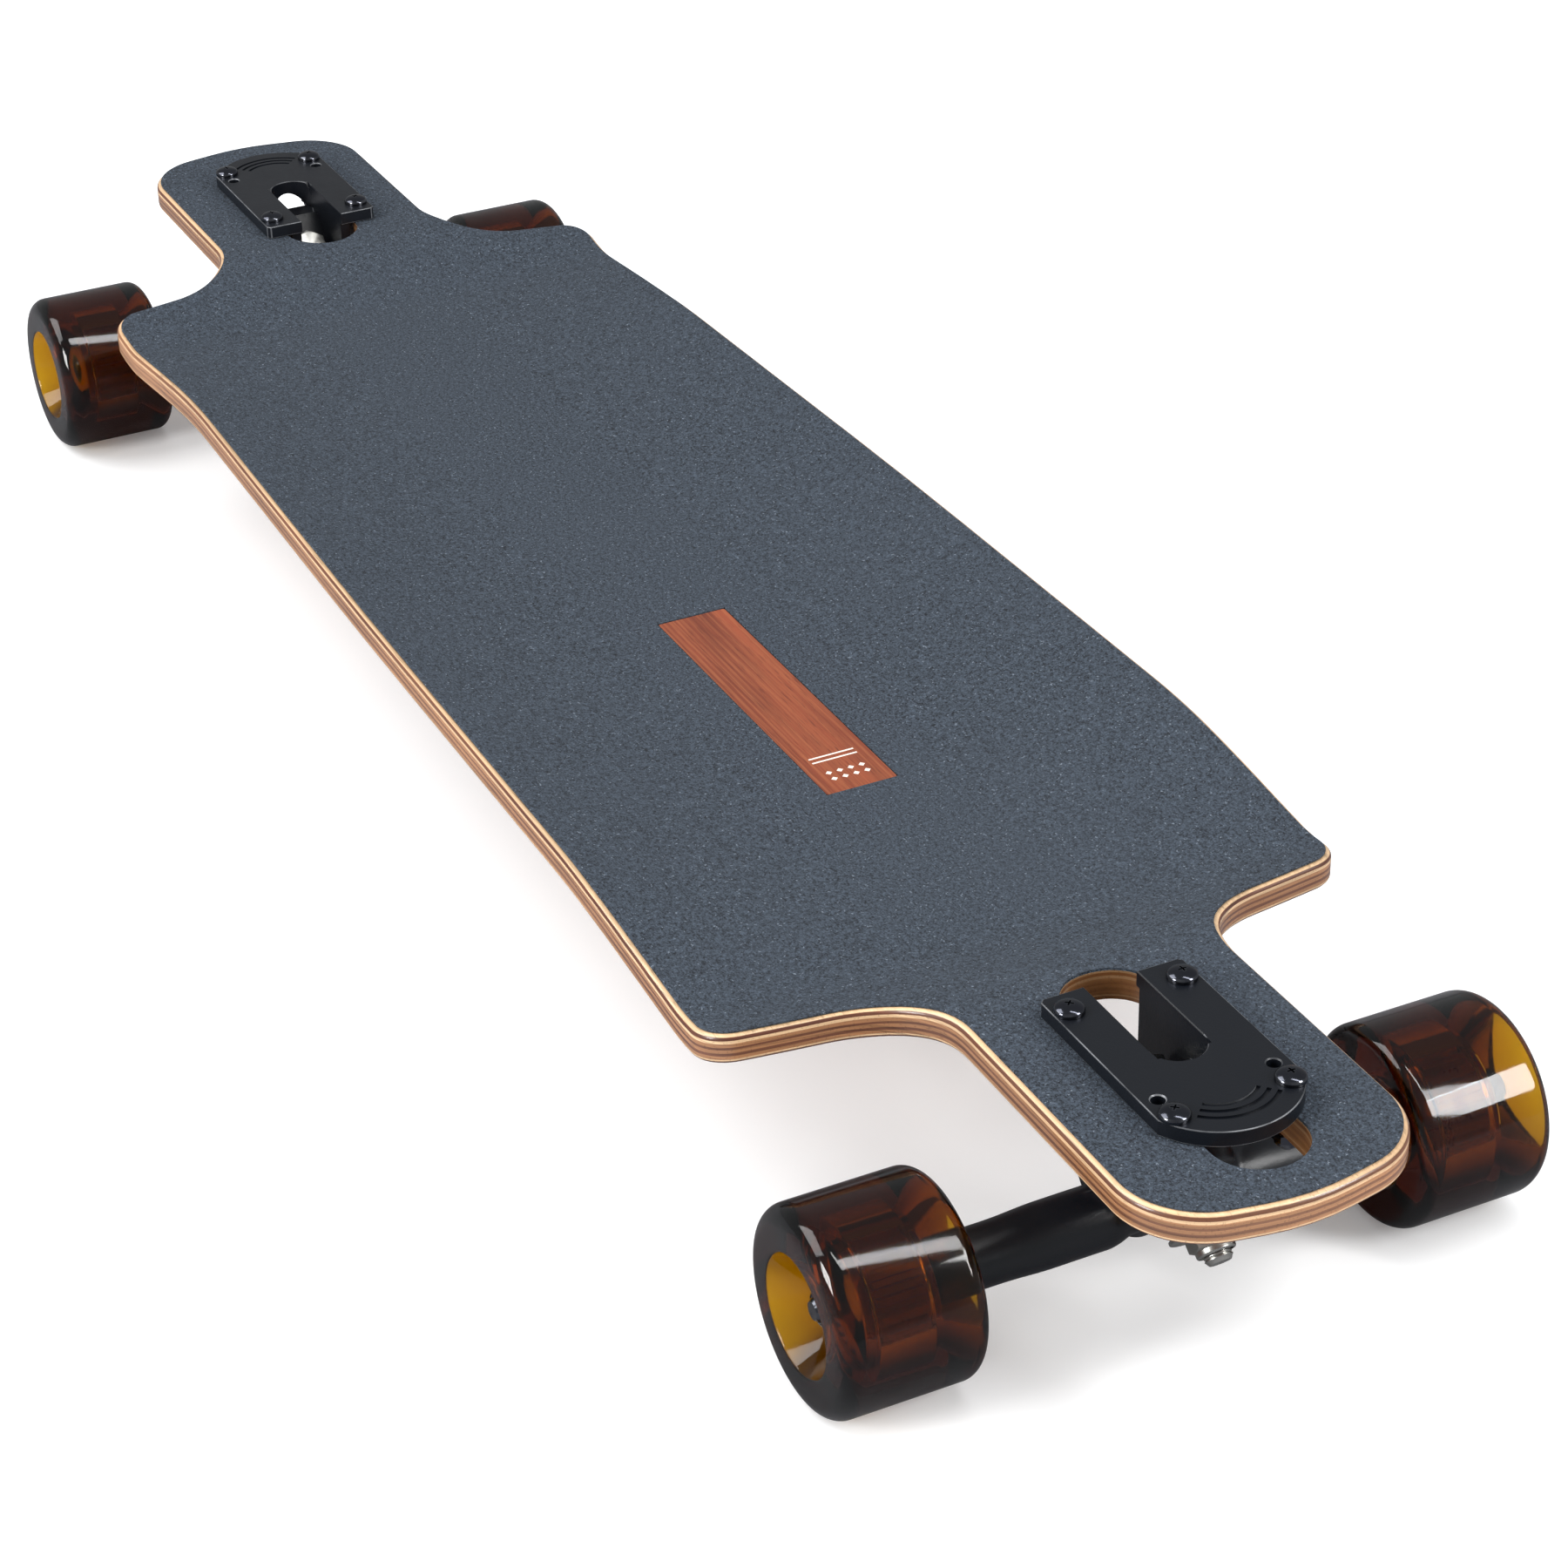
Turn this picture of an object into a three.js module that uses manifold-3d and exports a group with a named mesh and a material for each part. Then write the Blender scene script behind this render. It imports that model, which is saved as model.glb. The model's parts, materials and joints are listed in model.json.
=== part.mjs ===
// Drop-through longboard with reverse-kingpin trucks.
// Millimetres. +X towards the nose, +Z up. The origin is on the ground under the middle of the board.
import * as THREE from "three";
import { mergeVertices } from "three/addons/utils/BufferGeometryUtils.js";
import Module from "manifold-3d";

const wasm = await Module();
wasm.setup();

// ---- Driving dimensions: deck ----
const HALF_LENGTH = 479.5;
const DECK_THICKNESS = 11;
const PLATFORM_TOP = 79.6; // wooden top along the centre line
const NECK_TOP = 92.5; // wooden top where the trucks are bolted
const DROP_START = 288; // distance from the middle where the deck starts to rise to the neck
const DROP_END = 352;
const CONCAVE_RISE = 12.8; // how far the rails stand above the centre line
const CONCAVE_FADE_START = 190;
const CONCAVE_FADE_END = 345;
const FLAT_HALF_WIDTH = 22; // flat middle strip of the concave
const RAIL_HALF_WIDTH = 119;
const TIP_HALF_WIDTH = 8; // straight part of the crowned ends
const DECK_COLUMNS = 8;

// ---- Driving dimensions: grip sheet and inlay ----
const SKIN_GAP = 0.3;
const GRIP_THICKNESS = 0.8;
const GRIP_MARGIN = 2;
const INLAY_START = 44;
const INLAY_LENGTH = 144;
const INLAY_HALF_WIDTH = 14;
const INLAY_SET_BACK = 0.2; // how far the inlay lies below the grip's surface

// ---- Driving dimensions: trucks ----
const BOLT_CENTRE_X = 402;
const BOLT_SPACING_X = 63.5;
const BOLT_SPACING_Y = 41.3;
const SPARE_SPACING_X = 53.8;
const AXLE_X = 393.5;
const AXLE_Z = 35;
const STEER_ANGLE = THREE.MathUtils.degToRad(50);
const PIVOT_TO_AXLE = 13; // along the steering axis
const RAKE = 3; // axle's distance from the steering axis
const PIVOT_TO_RING = 37;
const PLATE_BOTTOM = 93.9;
const PLATE_TOP = 99.5;
const PLATE_INNER_X = 360.5;
const PLATE_HALF_WIDTH = 26.2;
const PLATE_END_RADIUS = 28.5;
const PLATE_END_CENTRE = 421.8;
const SLOT_HALF_WIDTH = 9.7;
const SLOT_END_CENTRE = 400.8;
const HOLE_INNER_X = 345;
const HOLE_OUTER_X = 464;
const HOLE_HALF_WIDTH = 16.7;
const SEAT_DEPTH = -21; // bushing seat, measured along the kingpin from the ring's middle
const HEAD_DEPTH = -29;
const HOLLOW_LENGTH = 130;
const HOLLOW_MIDDLE = 24;
const CHEEK_HALF_WIDTH = 14.5;
const HORN_RADIUS = 10.5;
const HORN_DEPTH = 8.5;
const HORN_TOP = 2;
const CUP_FLOOR = 2; // thickness of the horn under the cup
const LEG_FACE = -16; // face of the horn's leg, beside the hanger
const CUP_RADIUS = 8.2;
const PIVOT_RADIUS = 5.9;
const RING_RADIUS = 17;
const RING_HALF_THICKNESS = 4;
const RING_HOLE_RADIUS = 7.6;
const KINGPIN_RADIUS = 4.75;
const KINGPIN_END = 32;
const KINGPIN_HEAD_HEIGHT = 7;
const KINGPIN_HEX = 14.3; // across flats, head and nut
const KINGPIN_NUT_START = 22;
const KINGPIN_NUT_END = 29;
const BUSHING_RADIUS = 12.2;
const BUSHING_TOP = 20; // road side end of the cone, and -BUSHING_BOTTOM the board side end of the barrel
const BUSHING_BOTTOM = 19;
const WASHER_THICKNESS = 1.4;
const HANGER_HALF = 90;
const HANGER_ARM_RADIUS = 10.3;
const HANGER_WAIST = 5.2; // how near the bar's middle comes to the pivot, to clear the horn
const WAIST_END = 13.5; // distance across the board where the bar starts to widen to its full round
const WAIST_FADE_END = 24;
const SHOULDER_RISE = 3; // swelling of the bar where the web's shoulders meet it
const SHOULDER_START = 28;
const SHOULDER_END = 62;
const AXLE_RADIUS = 4;
const AXLE_HALF = 123.8;
const CLEARANCE = 0.3;

// ---- Driving dimensions: wheels ----
const WHEEL_RADIUS = 35;
const WHEEL_INNER_Y = 78.9;
const WHEEL_OUTER_Y = 129.6;
const BEARING_RADIUS = 11;
const BEARING_WIDTH = 7;
const INNER_BEARING_Y = 91;
const OUTER_BEARING_Y = 108;
const CORE_RADIUS = 17;
const AXLE_NUT_Y = 115.6;
const AXLE_NUT_HEIGHT = 6.4;
const AXLE_NUT_ACROSS = 12.7;
const SEAT_NECK = 14.4; // radius of the tyre's opening over each end of the core
const NECK_WIDTH = 3;
const CORE_END = 0.8; // how far the core stands out beyond the bearings
const BEARING_STOP = 8.5; // radius of the shoulder between the bearings

const BORE_SIDES = 16;
const ROUND_SIDES = 20;
const WHEEL_SIDES = 24;
const DISC_SIDES = 12;
const DRILL_SIDES = 8;

// ---- Materials ----
const finish = (color, roughness, metalness) =>
  new THREE.MeshStandardMaterial({ color, roughness, metalness });
const maple = finish(0xb98a5e, 0.45, 0);
const grit = finish(0x2b3542, 0.95, 0);
const cherryVeneer = finish(0x9a4a28, 0.5, 0);
const blackPowder = finish(0x0c0e12, 0.4, 0.3);
const blackChrome = finish(0x1a1b1f, 0.12, 1);
const steel = finish(0xb4b6ba, 0.3, 1);
const amberUrethane = finish(0x5a2109, 0.12, 0);
const yellowCore = finish(0xc28a10, 0.35, 0);
const honeyUrethane = finish(0xc79a2c, 0.3, 0);
const darkRubber = finish(0x17181b, 0.8, 0);

const board = new THREE.Group();

function addPiece(parent, name, geometry, material) {
  const mesh = new THREE.Mesh(geometry, material);
  mesh.name = name;
  parent.add(mesh);
  return mesh;
}

// ---- Solids: joining and cutting ----
function toSolid(geometry) {
  const bare = geometry.clone();
  bare.deleteAttribute("normal");
  bare.deleteAttribute("uv");
  const merged = mergeVertices(bare, 1e-4);
  return new wasm.Manifold(
    new wasm.Mesh({
      numProp: 3,
      vertProperties: new Float32Array(merged.attributes.position.array),
      triVerts: new Uint32Array(merged.index.array),
    }),
  );
}

function toGeometry(solid) {
  const mesh = solid.getMesh();
  const geometry = new THREE.BufferGeometry();
  geometry.setAttribute("position", new THREE.BufferAttribute(mesh.vertProperties, 3));
  geometry.setIndex(new THREE.BufferAttribute(mesh.triVerts, 1));
  return geometry;
}

function join(...geometries) {
  const solids = geometries.map(toSolid);
  return toGeometry(solids.reduce((sum, solid) => sum.add(solid)));
}

function cut(geometry, ...tools) {
  const start = toSolid(geometry);
  return toGeometry(tools.map(toSolid).reduce((left, tool) => left.subtract(tool), start));
}

function keepInside(geometry, limit) {
  return toGeometry(toSolid(geometry).intersect(toSolid(limit)));
}

// ---- Solids: plain shapes ----
// An outline in X and Y, extruded from one height to another.
function slab(shape, bottom, top, curveSegments = 6) {
  const options = { depth: top - bottom, bevelEnabled: false, curveSegments };
  return new THREE.ExtrudeGeometry(shape, options).translate(0, 0, bottom);
}

// A closed profile of [radius, height] points, turned about Z.
function turned(profile, sides = ROUND_SIDES) {
  const points = profile.map(([radius, height]) => new THREE.Vector2(radius, height));
  if (THREE.ShapeUtils.area(points) < 0) {
    points.reverse();
  }
  const onAxis = points[0].x === 0 && points.at(-1).x === 0;
  if (!onAxis) {
    points.push(points[0].clone());
  }
  return new THREE.LatheGeometry(points, sides).rotateX(Math.PI / 2);
}

function ringProfile(inner, outer, bottom, top) {
  return [
    [inner, bottom],
    [outer, bottom],
    [outer, top],
    [inner, top],
  ];
}

function rod(radius, bottom, top, sides = BORE_SIDES) {
  const geometry = new THREE.CylinderGeometry(radius, radius, top - bottom, sides);
  return geometry.rotateX(Math.PI / 2).translate(0, 0, (bottom + top) / 2);
}

function rodAt(x, y, radius, bottom, top, sides = BORE_SIDES) {
  return rod(radius, bottom, top, sides).translate(x, y, 0);
}

function hexagon(acrossFlats, bottom, top) {
  return rod(acrossFlats / Math.sqrt(3), bottom, top, 6);
}

// Turns a shape made along Z so that it lies along Y.
function alongY(geometry) {
  return geometry.rotateX(-Math.PI / 2);
}

// ---- Deck form ----
const smooth = (value, start, end) => THREE.MathUtils.smoothstep(value, start, end);

function deckTop(x, y) {
  const away = Math.abs(x);
  const centre = THREE.MathUtils.lerp(PLATFORM_TOP, NECK_TOP, smooth(away, DROP_START, DROP_END));
  const rise = CONCAVE_RISE * (1 - smooth(away, CONCAVE_FADE_START, CONCAVE_FADE_END));
  const reach = Math.max(0, Math.abs(y) - FLAT_HALF_WIDTH) / (RAIL_HALF_WIDTH - FLAT_HALF_WIDTH);
  return centre + rise * reach ** 2;
}

// Half of the plan outline, from tail to nose: corner points, each with its rounding radius.
const HALF_OUTLINE = [
  { x: -HALF_LENGTH, y: TIP_HALF_WIDTH, radius: 0 },
  { x: -471, y: 50.8, radius: 30 },
  { x: -332.5, y: 50.8, radius: 38 },
  { x: -323, y: 115.6, radius: 14 },
  { x: -220, y: 113.8, radius: 900 },
  { x: 0, y: 119.2, radius: 6000 },
  { x: 220, y: 121.2, radius: 3000 },
  { x: 313, y: 120.2, radius: 14 },
  { x: 325.5, y: 49.8, radius: 38 },
  { x: 471, y: 49.8, radius: 30 },
  { x: HALF_LENGTH, y: TIP_HALF_WIDTH, radius: 0 },
];
const ARC_STEP = THREE.MathUtils.degToRad(18);

function roundedCorner(before, corner, after) {
  const at = new THREE.Vector2(corner.x, corner.y);
  const inward = new THREE.Vector2(before.x, before.y).sub(at).normalize();
  const outward = new THREE.Vector2(after.x, after.y).sub(at).normalize();
  const halfAngle = Math.acos(inward.dot(outward)) / 2;
  const middle = inward.clone().add(outward).normalize();
  const centre = at.clone().addScaledVector(middle, corner.radius / Math.sin(halfAngle));
  const reach = corner.radius / Math.tan(halfAngle);
  const start = at.clone().addScaledVector(inward, reach).sub(centre);
  const end = at.clone().addScaledVector(outward, reach).sub(centre);
  const turn = Math.atan2(start.cross(end), start.dot(end));
  const steps = Math.max(1, Math.round(Math.abs(turn) / ARC_STEP));
  const points = [];
  for (let i = 0; i <= steps; i++) {
    points.push(start.clone().rotateAround(new THREE.Vector2(), (turn * i) / steps).add(centre));
  }
  return points;
}

function halfOutline() {
  const points = [];
  HALF_OUTLINE.forEach((corner, i) => {
    if (corner.radius === 0) {
      points.push(new THREE.Vector2(corner.x, corner.y));
      return;
    }
    points.push(...roundedCorner(HALF_OUTLINE[i - 1], corner, HALF_OUTLINE[i + 1]));
  });
  return points;
}

// Moves a half outline towards the board's middle.
function insetOutline(points, margin) {
  return points.map((point, i) => {
    const before = points[Math.max(0, i - 1)];
    const after = points[Math.min(points.length - 1, i + 1)];
    const along = after.clone().sub(before).normalize();
    return new THREE.Vector2(point.x + along.y * margin, point.y - along.x * margin);
  });
}

const LONGEST_STEP = 60;
const BEND_STEP = 13;
const BEND_MARGIN = 10;

// Adds points so that no step along X is long, and is short where the deck bends.
function refineOutline(points) {
  const finer = [points[0]];
  for (let i = 1; i < points.length; i++) {
    const from = points[i - 1];
    const to = points[i];
    const middle = Math.abs(from.x + to.x) / 2;
    const bending = middle > DROP_START - BEND_MARGIN && middle < DROP_END + BEND_MARGIN;
    const step = bending ? BEND_STEP : LONGEST_STEP;
    const count = Math.max(1, Math.ceil((to.x - from.x) / step));
    for (let k = 1; k <= count; k++) {
      finer.push(from.clone().lerp(to, k / count));
    }
  }
  return finer;
}

// A closed sheet over the outline, between two heights above the deck's top surface.
function curvedSheet(outline, low, high) {
  const positions = [];
  const index = [];
  const columns = DECK_COLUMNS + 1;
  outline.forEach((edge) => {
    for (let j = 0; j < columns; j++) {
      const y = edge.y * ((2 * j) / DECK_COLUMNS - 1);
      positions.push(edge.x, y, deckTop(edge.x, y) + high);
      positions.push(edge.x, y, deckTop(edge.x, y) + low);
    }
  });
  const upper = (i, j) => 2 * (i * columns + j);
  const lower = (i, j) => upper(i, j) + 1;
  const face = (a, b, c, d) => index.push(a, b, c, a, c, d);
  const last = outline.length - 1;
  for (let i = 0; i < last; i++) {
    for (let j = 0; j < DECK_COLUMNS; j++) {
      face(upper(i, j), upper(i + 1, j), upper(i + 1, j + 1), upper(i, j + 1));
      face(lower(i, j), lower(i, j + 1), lower(i + 1, j + 1), lower(i + 1, j));
    }
    face(lower(i, 0), lower(i + 1, 0), upper(i + 1, 0), upper(i, 0));
    const k = DECK_COLUMNS;
    face(lower(i + 1, k), lower(i, k), upper(i, k), upper(i + 1, k));
  }
  for (let j = 0; j < DECK_COLUMNS; j++) {
    face(lower(0, j + 1), lower(0, j), upper(0, j), upper(0, j + 1));
    face(lower(last, j), lower(last, j + 1), upper(last, j + 1), upper(last, j));
  }
  const geometry = new THREE.BufferGeometry();
  geometry.setAttribute("position", new THREE.Float32BufferAttribute(positions, 3));
  geometry.setIndex(index);
  return geometry;
}

// ---- Holes shared by the deck, the grip sheet and the baseplates ----
const HOLE_BOTTOM = 50;
const HOLE_TOP = 120;

function stadium(start, end, halfWidth) {
  const shape = new THREE.Shape();
  shape.absarc(end - halfWidth, 0, halfWidth, -Math.PI / 2, Math.PI / 2, false);
  shape.absarc(start + halfWidth, 0, halfWidth, Math.PI / 2, (3 * Math.PI) / 2, false);
  shape.closePath();
  return shape;
}

function dropHoles() {
  const shape = stadium(HOLE_INNER_X, HOLE_OUTER_X, HOLE_HALF_WIDTH);
  return [0, Math.PI].map((angle) => slab(shape, HOLE_BOTTOM, HOLE_TOP, 8).rotateZ(angle));
}

function boltPlaces(end) {
  const places = [];
  for (const along of [-0.5, 0.5]) {
    for (const across of [-0.5, 0.5]) {
      places.push({
        x: end * (BOLT_CENTRE_X + along * BOLT_SPACING_X),
        y: end * across * BOLT_SPACING_Y,
      });
    }
  }
  return places;
}

function boltHoles(radius) {
  const places = [...boltPlaces(1), ...boltPlaces(-1)];
  return places.map(({ x, y }) => rodAt(x, y, radius, HOLE_BOTTOM, HOLE_TOP, DRILL_SIDES));
}

// ---- Deck, grip sheet, inlay ----
const BOLT_RADIUS = 2.4;
const BOLT_HOLE_RADIUS = 2.8;
const BOLT_HEAD_RADIUS = 5.2;
const BOLT_END = 7.5; // how far the bolts reach below the deck
const LOCK_NUT_ACROSS = 9.5;
const LOCK_NUT_HEIGHT = 5;
const deckOutline = refineOutline(halfOutline());

function makeDeck() {
  return cut(curvedSheet(deckOutline, -DECK_THICKNESS, 0), ...dropHoles(), ...boltHoles(BOLT_HOLE_RADIUS));
}

// The grip sheet's edge, mirrored about the board's centre line.
function gripShape() {
  const half = insetOutline(halfOutline(), GRIP_MARGIN);
  const mirrored = half.map(({ x, y }) => new THREE.Vector2(x, -y));
  return new THREE.Shape([...mirrored, ...half.reverse()]);
}

function makeGrip() {
  const wholeTop = curvedSheet(deckOutline, SKIN_GAP, SKIN_GAP + GRIP_THICKNESS);
  const sheet = keepInside(wholeTop, slab(gripShape(), HOLE_BOTTOM, HOLE_TOP));
  const window = new THREE.BoxGeometry(
    INLAY_LENGTH + 2 * CLEARANCE,
    2 * (INLAY_HALF_WIDTH + CLEARANCE),
    10,
  ).translate(INLAY_START + INLAY_LENGTH / 2, 0, PLATFORM_TOP);
  return cut(sheet, window, ...dropHoles(), ...boltHoles(BOLT_HOLE_RADIUS));
}

function makeInlay() {
  const thickness = GRIP_THICKNESS - INLAY_SET_BACK;
  const inlay = new THREE.BoxGeometry(INLAY_LENGTH, 2 * INLAY_HALF_WIDTH, thickness);
  return inlay.translate(INLAY_START + INLAY_LENGTH / 2, 0, PLATFORM_TOP + SKIN_GAP + thickness / 2);
}

// ---- Steering frame ----
// Each truck's shapes along its steering axis are made in a frame of their own: the local Z axis is the
// steering axis, rising from the pivot towards the nose, local Y is across the board, and local X runs
// along the kingpin towards its nut. The origin is the pivot's centre.
const PIVOT = new THREE.Vector3(
  AXLE_X - PIVOT_TO_AXLE * Math.cos(STEER_ANGLE) - RAKE * Math.sin(STEER_ANGLE),
  0,
  AXLE_Z - PIVOT_TO_AXLE * Math.sin(STEER_ANGLE) + RAKE * Math.cos(STEER_ANGLE),
);

function inSteeringFrame(geometry) {
  const steer = new THREE.Vector3(Math.cos(STEER_ANGLE), 0, Math.sin(STEER_ANGLE));
  const across = new THREE.Vector3(0, 1, 0);
  const pin = new THREE.Vector3().crossVectors(across, steer);
  const matrix = new THREE.Matrix4().makeBasis(pin, across, steer).setPosition(PIVOT);
  return geometry.applyMatrix4(matrix);
}

// A shape made along Z from the ring's middle, laid along the kingpin: +Z becomes the nut's direction.
function alongKingpin(geometry) {
  geometry.rotateY(Math.PI / 2).translate(0, 0, PIVOT_TO_RING);
  return inSteeringFrame(geometry);
}

// ---- Baseplate ----
function plateOutline() {
  const corner = 1.5;
  const shoulderDrop = 2;
  const shoulderLength = 4;
  const endAngle = Math.asin((PLATE_HALF_WIDTH - shoulderDrop) / PLATE_END_RADIUS);
  const sideEnd = PLATE_END_CENTRE + PLATE_END_RADIUS * Math.cos(endAngle) - shoulderLength;
  const shape = new THREE.Shape();
  shape.moveTo(PLATE_INNER_X, -PLATE_HALF_WIDTH + corner);
  shape.lineTo(PLATE_INNER_X + corner, -PLATE_HALF_WIDTH);
  shape.lineTo(sideEnd, -PLATE_HALF_WIDTH);
  shape.absarc(PLATE_END_CENTRE, 0, PLATE_END_RADIUS, -endAngle, endAngle, false);
  shape.lineTo(sideEnd, PLATE_HALF_WIDTH);
  shape.lineTo(PLATE_INNER_X + corner, PLATE_HALF_WIDTH);
  shape.lineTo(PLATE_INNER_X, PLATE_HALF_WIDTH - corner);
  shape.closePath();
  return shape;
}

// A point given along the steering axis and along the kingpin, as its X and Z in the board's frame.
function sidePoint(alongSteer, alongPin) {
  const x = PIVOT.x + alongSteer * Math.cos(STEER_ANGLE) + alongPin * Math.sin(STEER_ANGLE);
  const z = PIVOT.z + alongSteer * Math.sin(STEER_ANGLE) - alongPin * Math.cos(STEER_ANGLE);
  return new THREE.Vector2(x, z);
}

// The wedge under the plate, seen from the side, down to the horn that holds the pivot cup.
function wedge() {
  const intoPlate = PLATE_BOTTOM + 2;
  const heel = { x: PLATE_INNER_X + 2, z: PLATE_BOTTOM - 22 };
  const toe = { run: 8, end: 12, z: PLATE_BOTTOM - 3 };
  const seatTop = PIVOT_TO_RING + BUSHING_RADIUS + 3;
  const seatBottom = PIVOT_TO_RING - BUSHING_RADIUS - 1.5;
  const insideHorn = -HORN_RADIUS + 4;
  const seatEdge = sidePoint(seatTop, SEAT_DEPTH);
  const shape = new THREE.Shape([
    new THREE.Vector2(heel.x, intoPlate),
    new THREE.Vector2(heel.x, heel.z),
    sidePoint(-HORN_DEPTH + 2, LEG_FACE),
    sidePoint(-HORN_DEPTH, insideHorn),
    sidePoint(HORN_TOP, insideHorn),
    sidePoint(HORN_TOP, LEG_FACE),
    sidePoint(seatBottom - 3, LEG_FACE),
    sidePoint(seatBottom, SEAT_DEPTH),
    seatEdge,
    new THREE.Vector2(seatEdge.x + toe.run, toe.z),
    new THREE.Vector2(seatEdge.x + toe.end, intoPlate),
  ]);
  const width = 2 * CHEEK_HALF_WIDTH;
  const options = { depth: width, bevelEnabled: false };
  return new THREE.ExtrudeGeometry(shape, options).rotateX(Math.PI / 2).translate(0, width / 2, 0);
}

function makeBaseplate() {
  const plate = slab(plateOutline(), PLATE_BOTTOM, PLATE_TOP, 12);
  const horn = inSteeringFrame(rod(HORN_RADIUS, -HORN_DEPTH, HORN_TOP, ROUND_SIDES));
  const body = join(plate, wedge(), horn);
  const slotShape = stadium(PLATE_INNER_X - 40, SLOT_END_CENTRE + SLOT_HALF_WIDTH, SLOT_HALF_WIDTH);
  const slot = slab(slotShape, PLATE_BOTTOM - 6, PLATE_TOP + 10);
  const hollowDepth = 60;
  const hollowBox = new THREE.BoxGeometry(hollowDepth, 2 * SLOT_HALF_WIDTH, HOLLOW_LENGTH);
  const hollow = inSteeringFrame(hollowBox.translate(HEAD_DEPTH - hollowDepth / 2, 0, HOLLOW_MIDDLE));
  const pocketBottom = -HORN_DEPTH + CUP_FLOOR - CLEARANCE;
  const cupPocket = inSteeringFrame(rod(CUP_RADIUS + CLEARANCE, pocketBottom, 10, ROUND_SIDES));
  const pinHole = alongKingpin(rod(KINGPIN_RADIUS + CLEARANCE, HEAD_DEPTH - 2, SEAT_DEPTH + 4));
  const spares = [-1, 1].map((side) =>
    rodAt(
      BOLT_CENTRE_X - BOLT_SPACING_X / 2 + SPARE_SPACING_X,
      (side * BOLT_SPACING_Y) / 2,
      BOLT_RADIUS,
      PLATE_BOTTOM - 1,
      PLATE_TOP + 1,
      10,
    ),
  );
  const bolts = boltPlaces(1).map(({ x, y }) =>
    rodAt(x, y, BOLT_HOLE_RADIUS, PLATE_BOTTOM - 1, PLATE_TOP + 1, 10),
  );
  return cut(body, slot, hollow, cupPocket, pinHole, ...spares, ...bolts);
}

// ---- Pivot cup, kingpin, bushings ----
function makePivotCup() {
  const bottom = -HORN_DEPTH + CUP_FLOOR;
  const lip = HORN_TOP + 0.6;
  const inner = PIVOT_RADIUS + CLEARANCE;
  return inSteeringFrame(
    turned([
      [0, bottom],
      [CUP_RADIUS, bottom],
      [CUP_RADIUS, lip],
      [inner, lip],
      [inner, -1.5],
      [inner * 0.7, -inner * 0.8],
      [0, -inner],
    ]),
  );
}

function makeKingpin() {
  const head = hexagon(KINGPIN_HEX, HEAD_DEPTH - KINGPIN_HEAD_HEIGHT, HEAD_DEPTH - CLEARANCE);
  return alongKingpin(join(head, rod(KINGPIN_RADIUS, HEAD_DEPTH - 1, KINGPIN_END)));
}

function makeKingpinNut() {
  const bore = rod(KINGPIN_RADIUS + CLEARANCE, KINGPIN_NUT_START - 2, KINGPIN_NUT_END + 2);
  return alongKingpin(cut(hexagon(KINGPIN_HEX, KINGPIN_NUT_START, KINGPIN_NUT_END), bore));
}

function makeWasher(bottom) {
  const hole = KINGPIN_RADIUS + CLEARANCE;
  const outer = BUSHING_RADIUS + 0.8;
  return alongKingpin(turned(ringProfile(hole, outer, bottom, bottom + WASHER_THICKNESS)));
}

// A barrel: straight ends with a swollen middle.
function makeBarrelBushing(bottom, top) {
  const hole = KINGPIN_RADIUS + CLEARANCE;
  const middle = (bottom + top) / 2;
  return alongKingpin(
    turned([
      [hole, bottom],
      [BUSHING_RADIUS - 1.2, bottom],
      [BUSHING_RADIUS - 0.4, bottom + 1.2],
      [BUSHING_RADIUS, middle],
      [BUSHING_RADIUS - 0.4, top - 1.2],
      [BUSHING_RADIUS - 1.2, top],
      [hole, top],
    ]),
  );
}

function makeConeBushing(bottom, top) {
  const hole = KINGPIN_RADIUS + CLEARANCE;
  return alongKingpin(
    turned([
      [hole, bottom],
      [BUSHING_RADIUS - 0.8, bottom],
      [BUSHING_RADIUS - 0.2, bottom + 1],
      [BUSHING_RADIUS - 0.2, bottom + 4],
      [BUSHING_RADIUS - 2.6, top - 1],
      [BUSHING_RADIUS - 3.4, top],
      [hole, top],
    ]),
  );
}

// ---- Hanger ----
// Where the hanger's bar starts and ends along the steering axis, for a place across the board.
function barSection(y) {
  const away = Math.abs(y);
  const armBottom = PIVOT_TO_AXLE - HANGER_ARM_RADIUS;
  const widening = smooth(away, WAIST_END, WAIST_FADE_END);
  const bottom = THREE.MathUtils.lerp(HANGER_WAIST, armBottom, widening);
  const swell = widening * (1 - smooth(away, SHOULDER_START, SHOULDER_END));
  const dip = 0.8 * (1 - smooth(away, 8, 20));
  const top = PIVOT_TO_AXLE + HANGER_ARM_RADIUS + SHOULDER_RISE * swell - dip;
  return { bottom, top };
}

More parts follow.
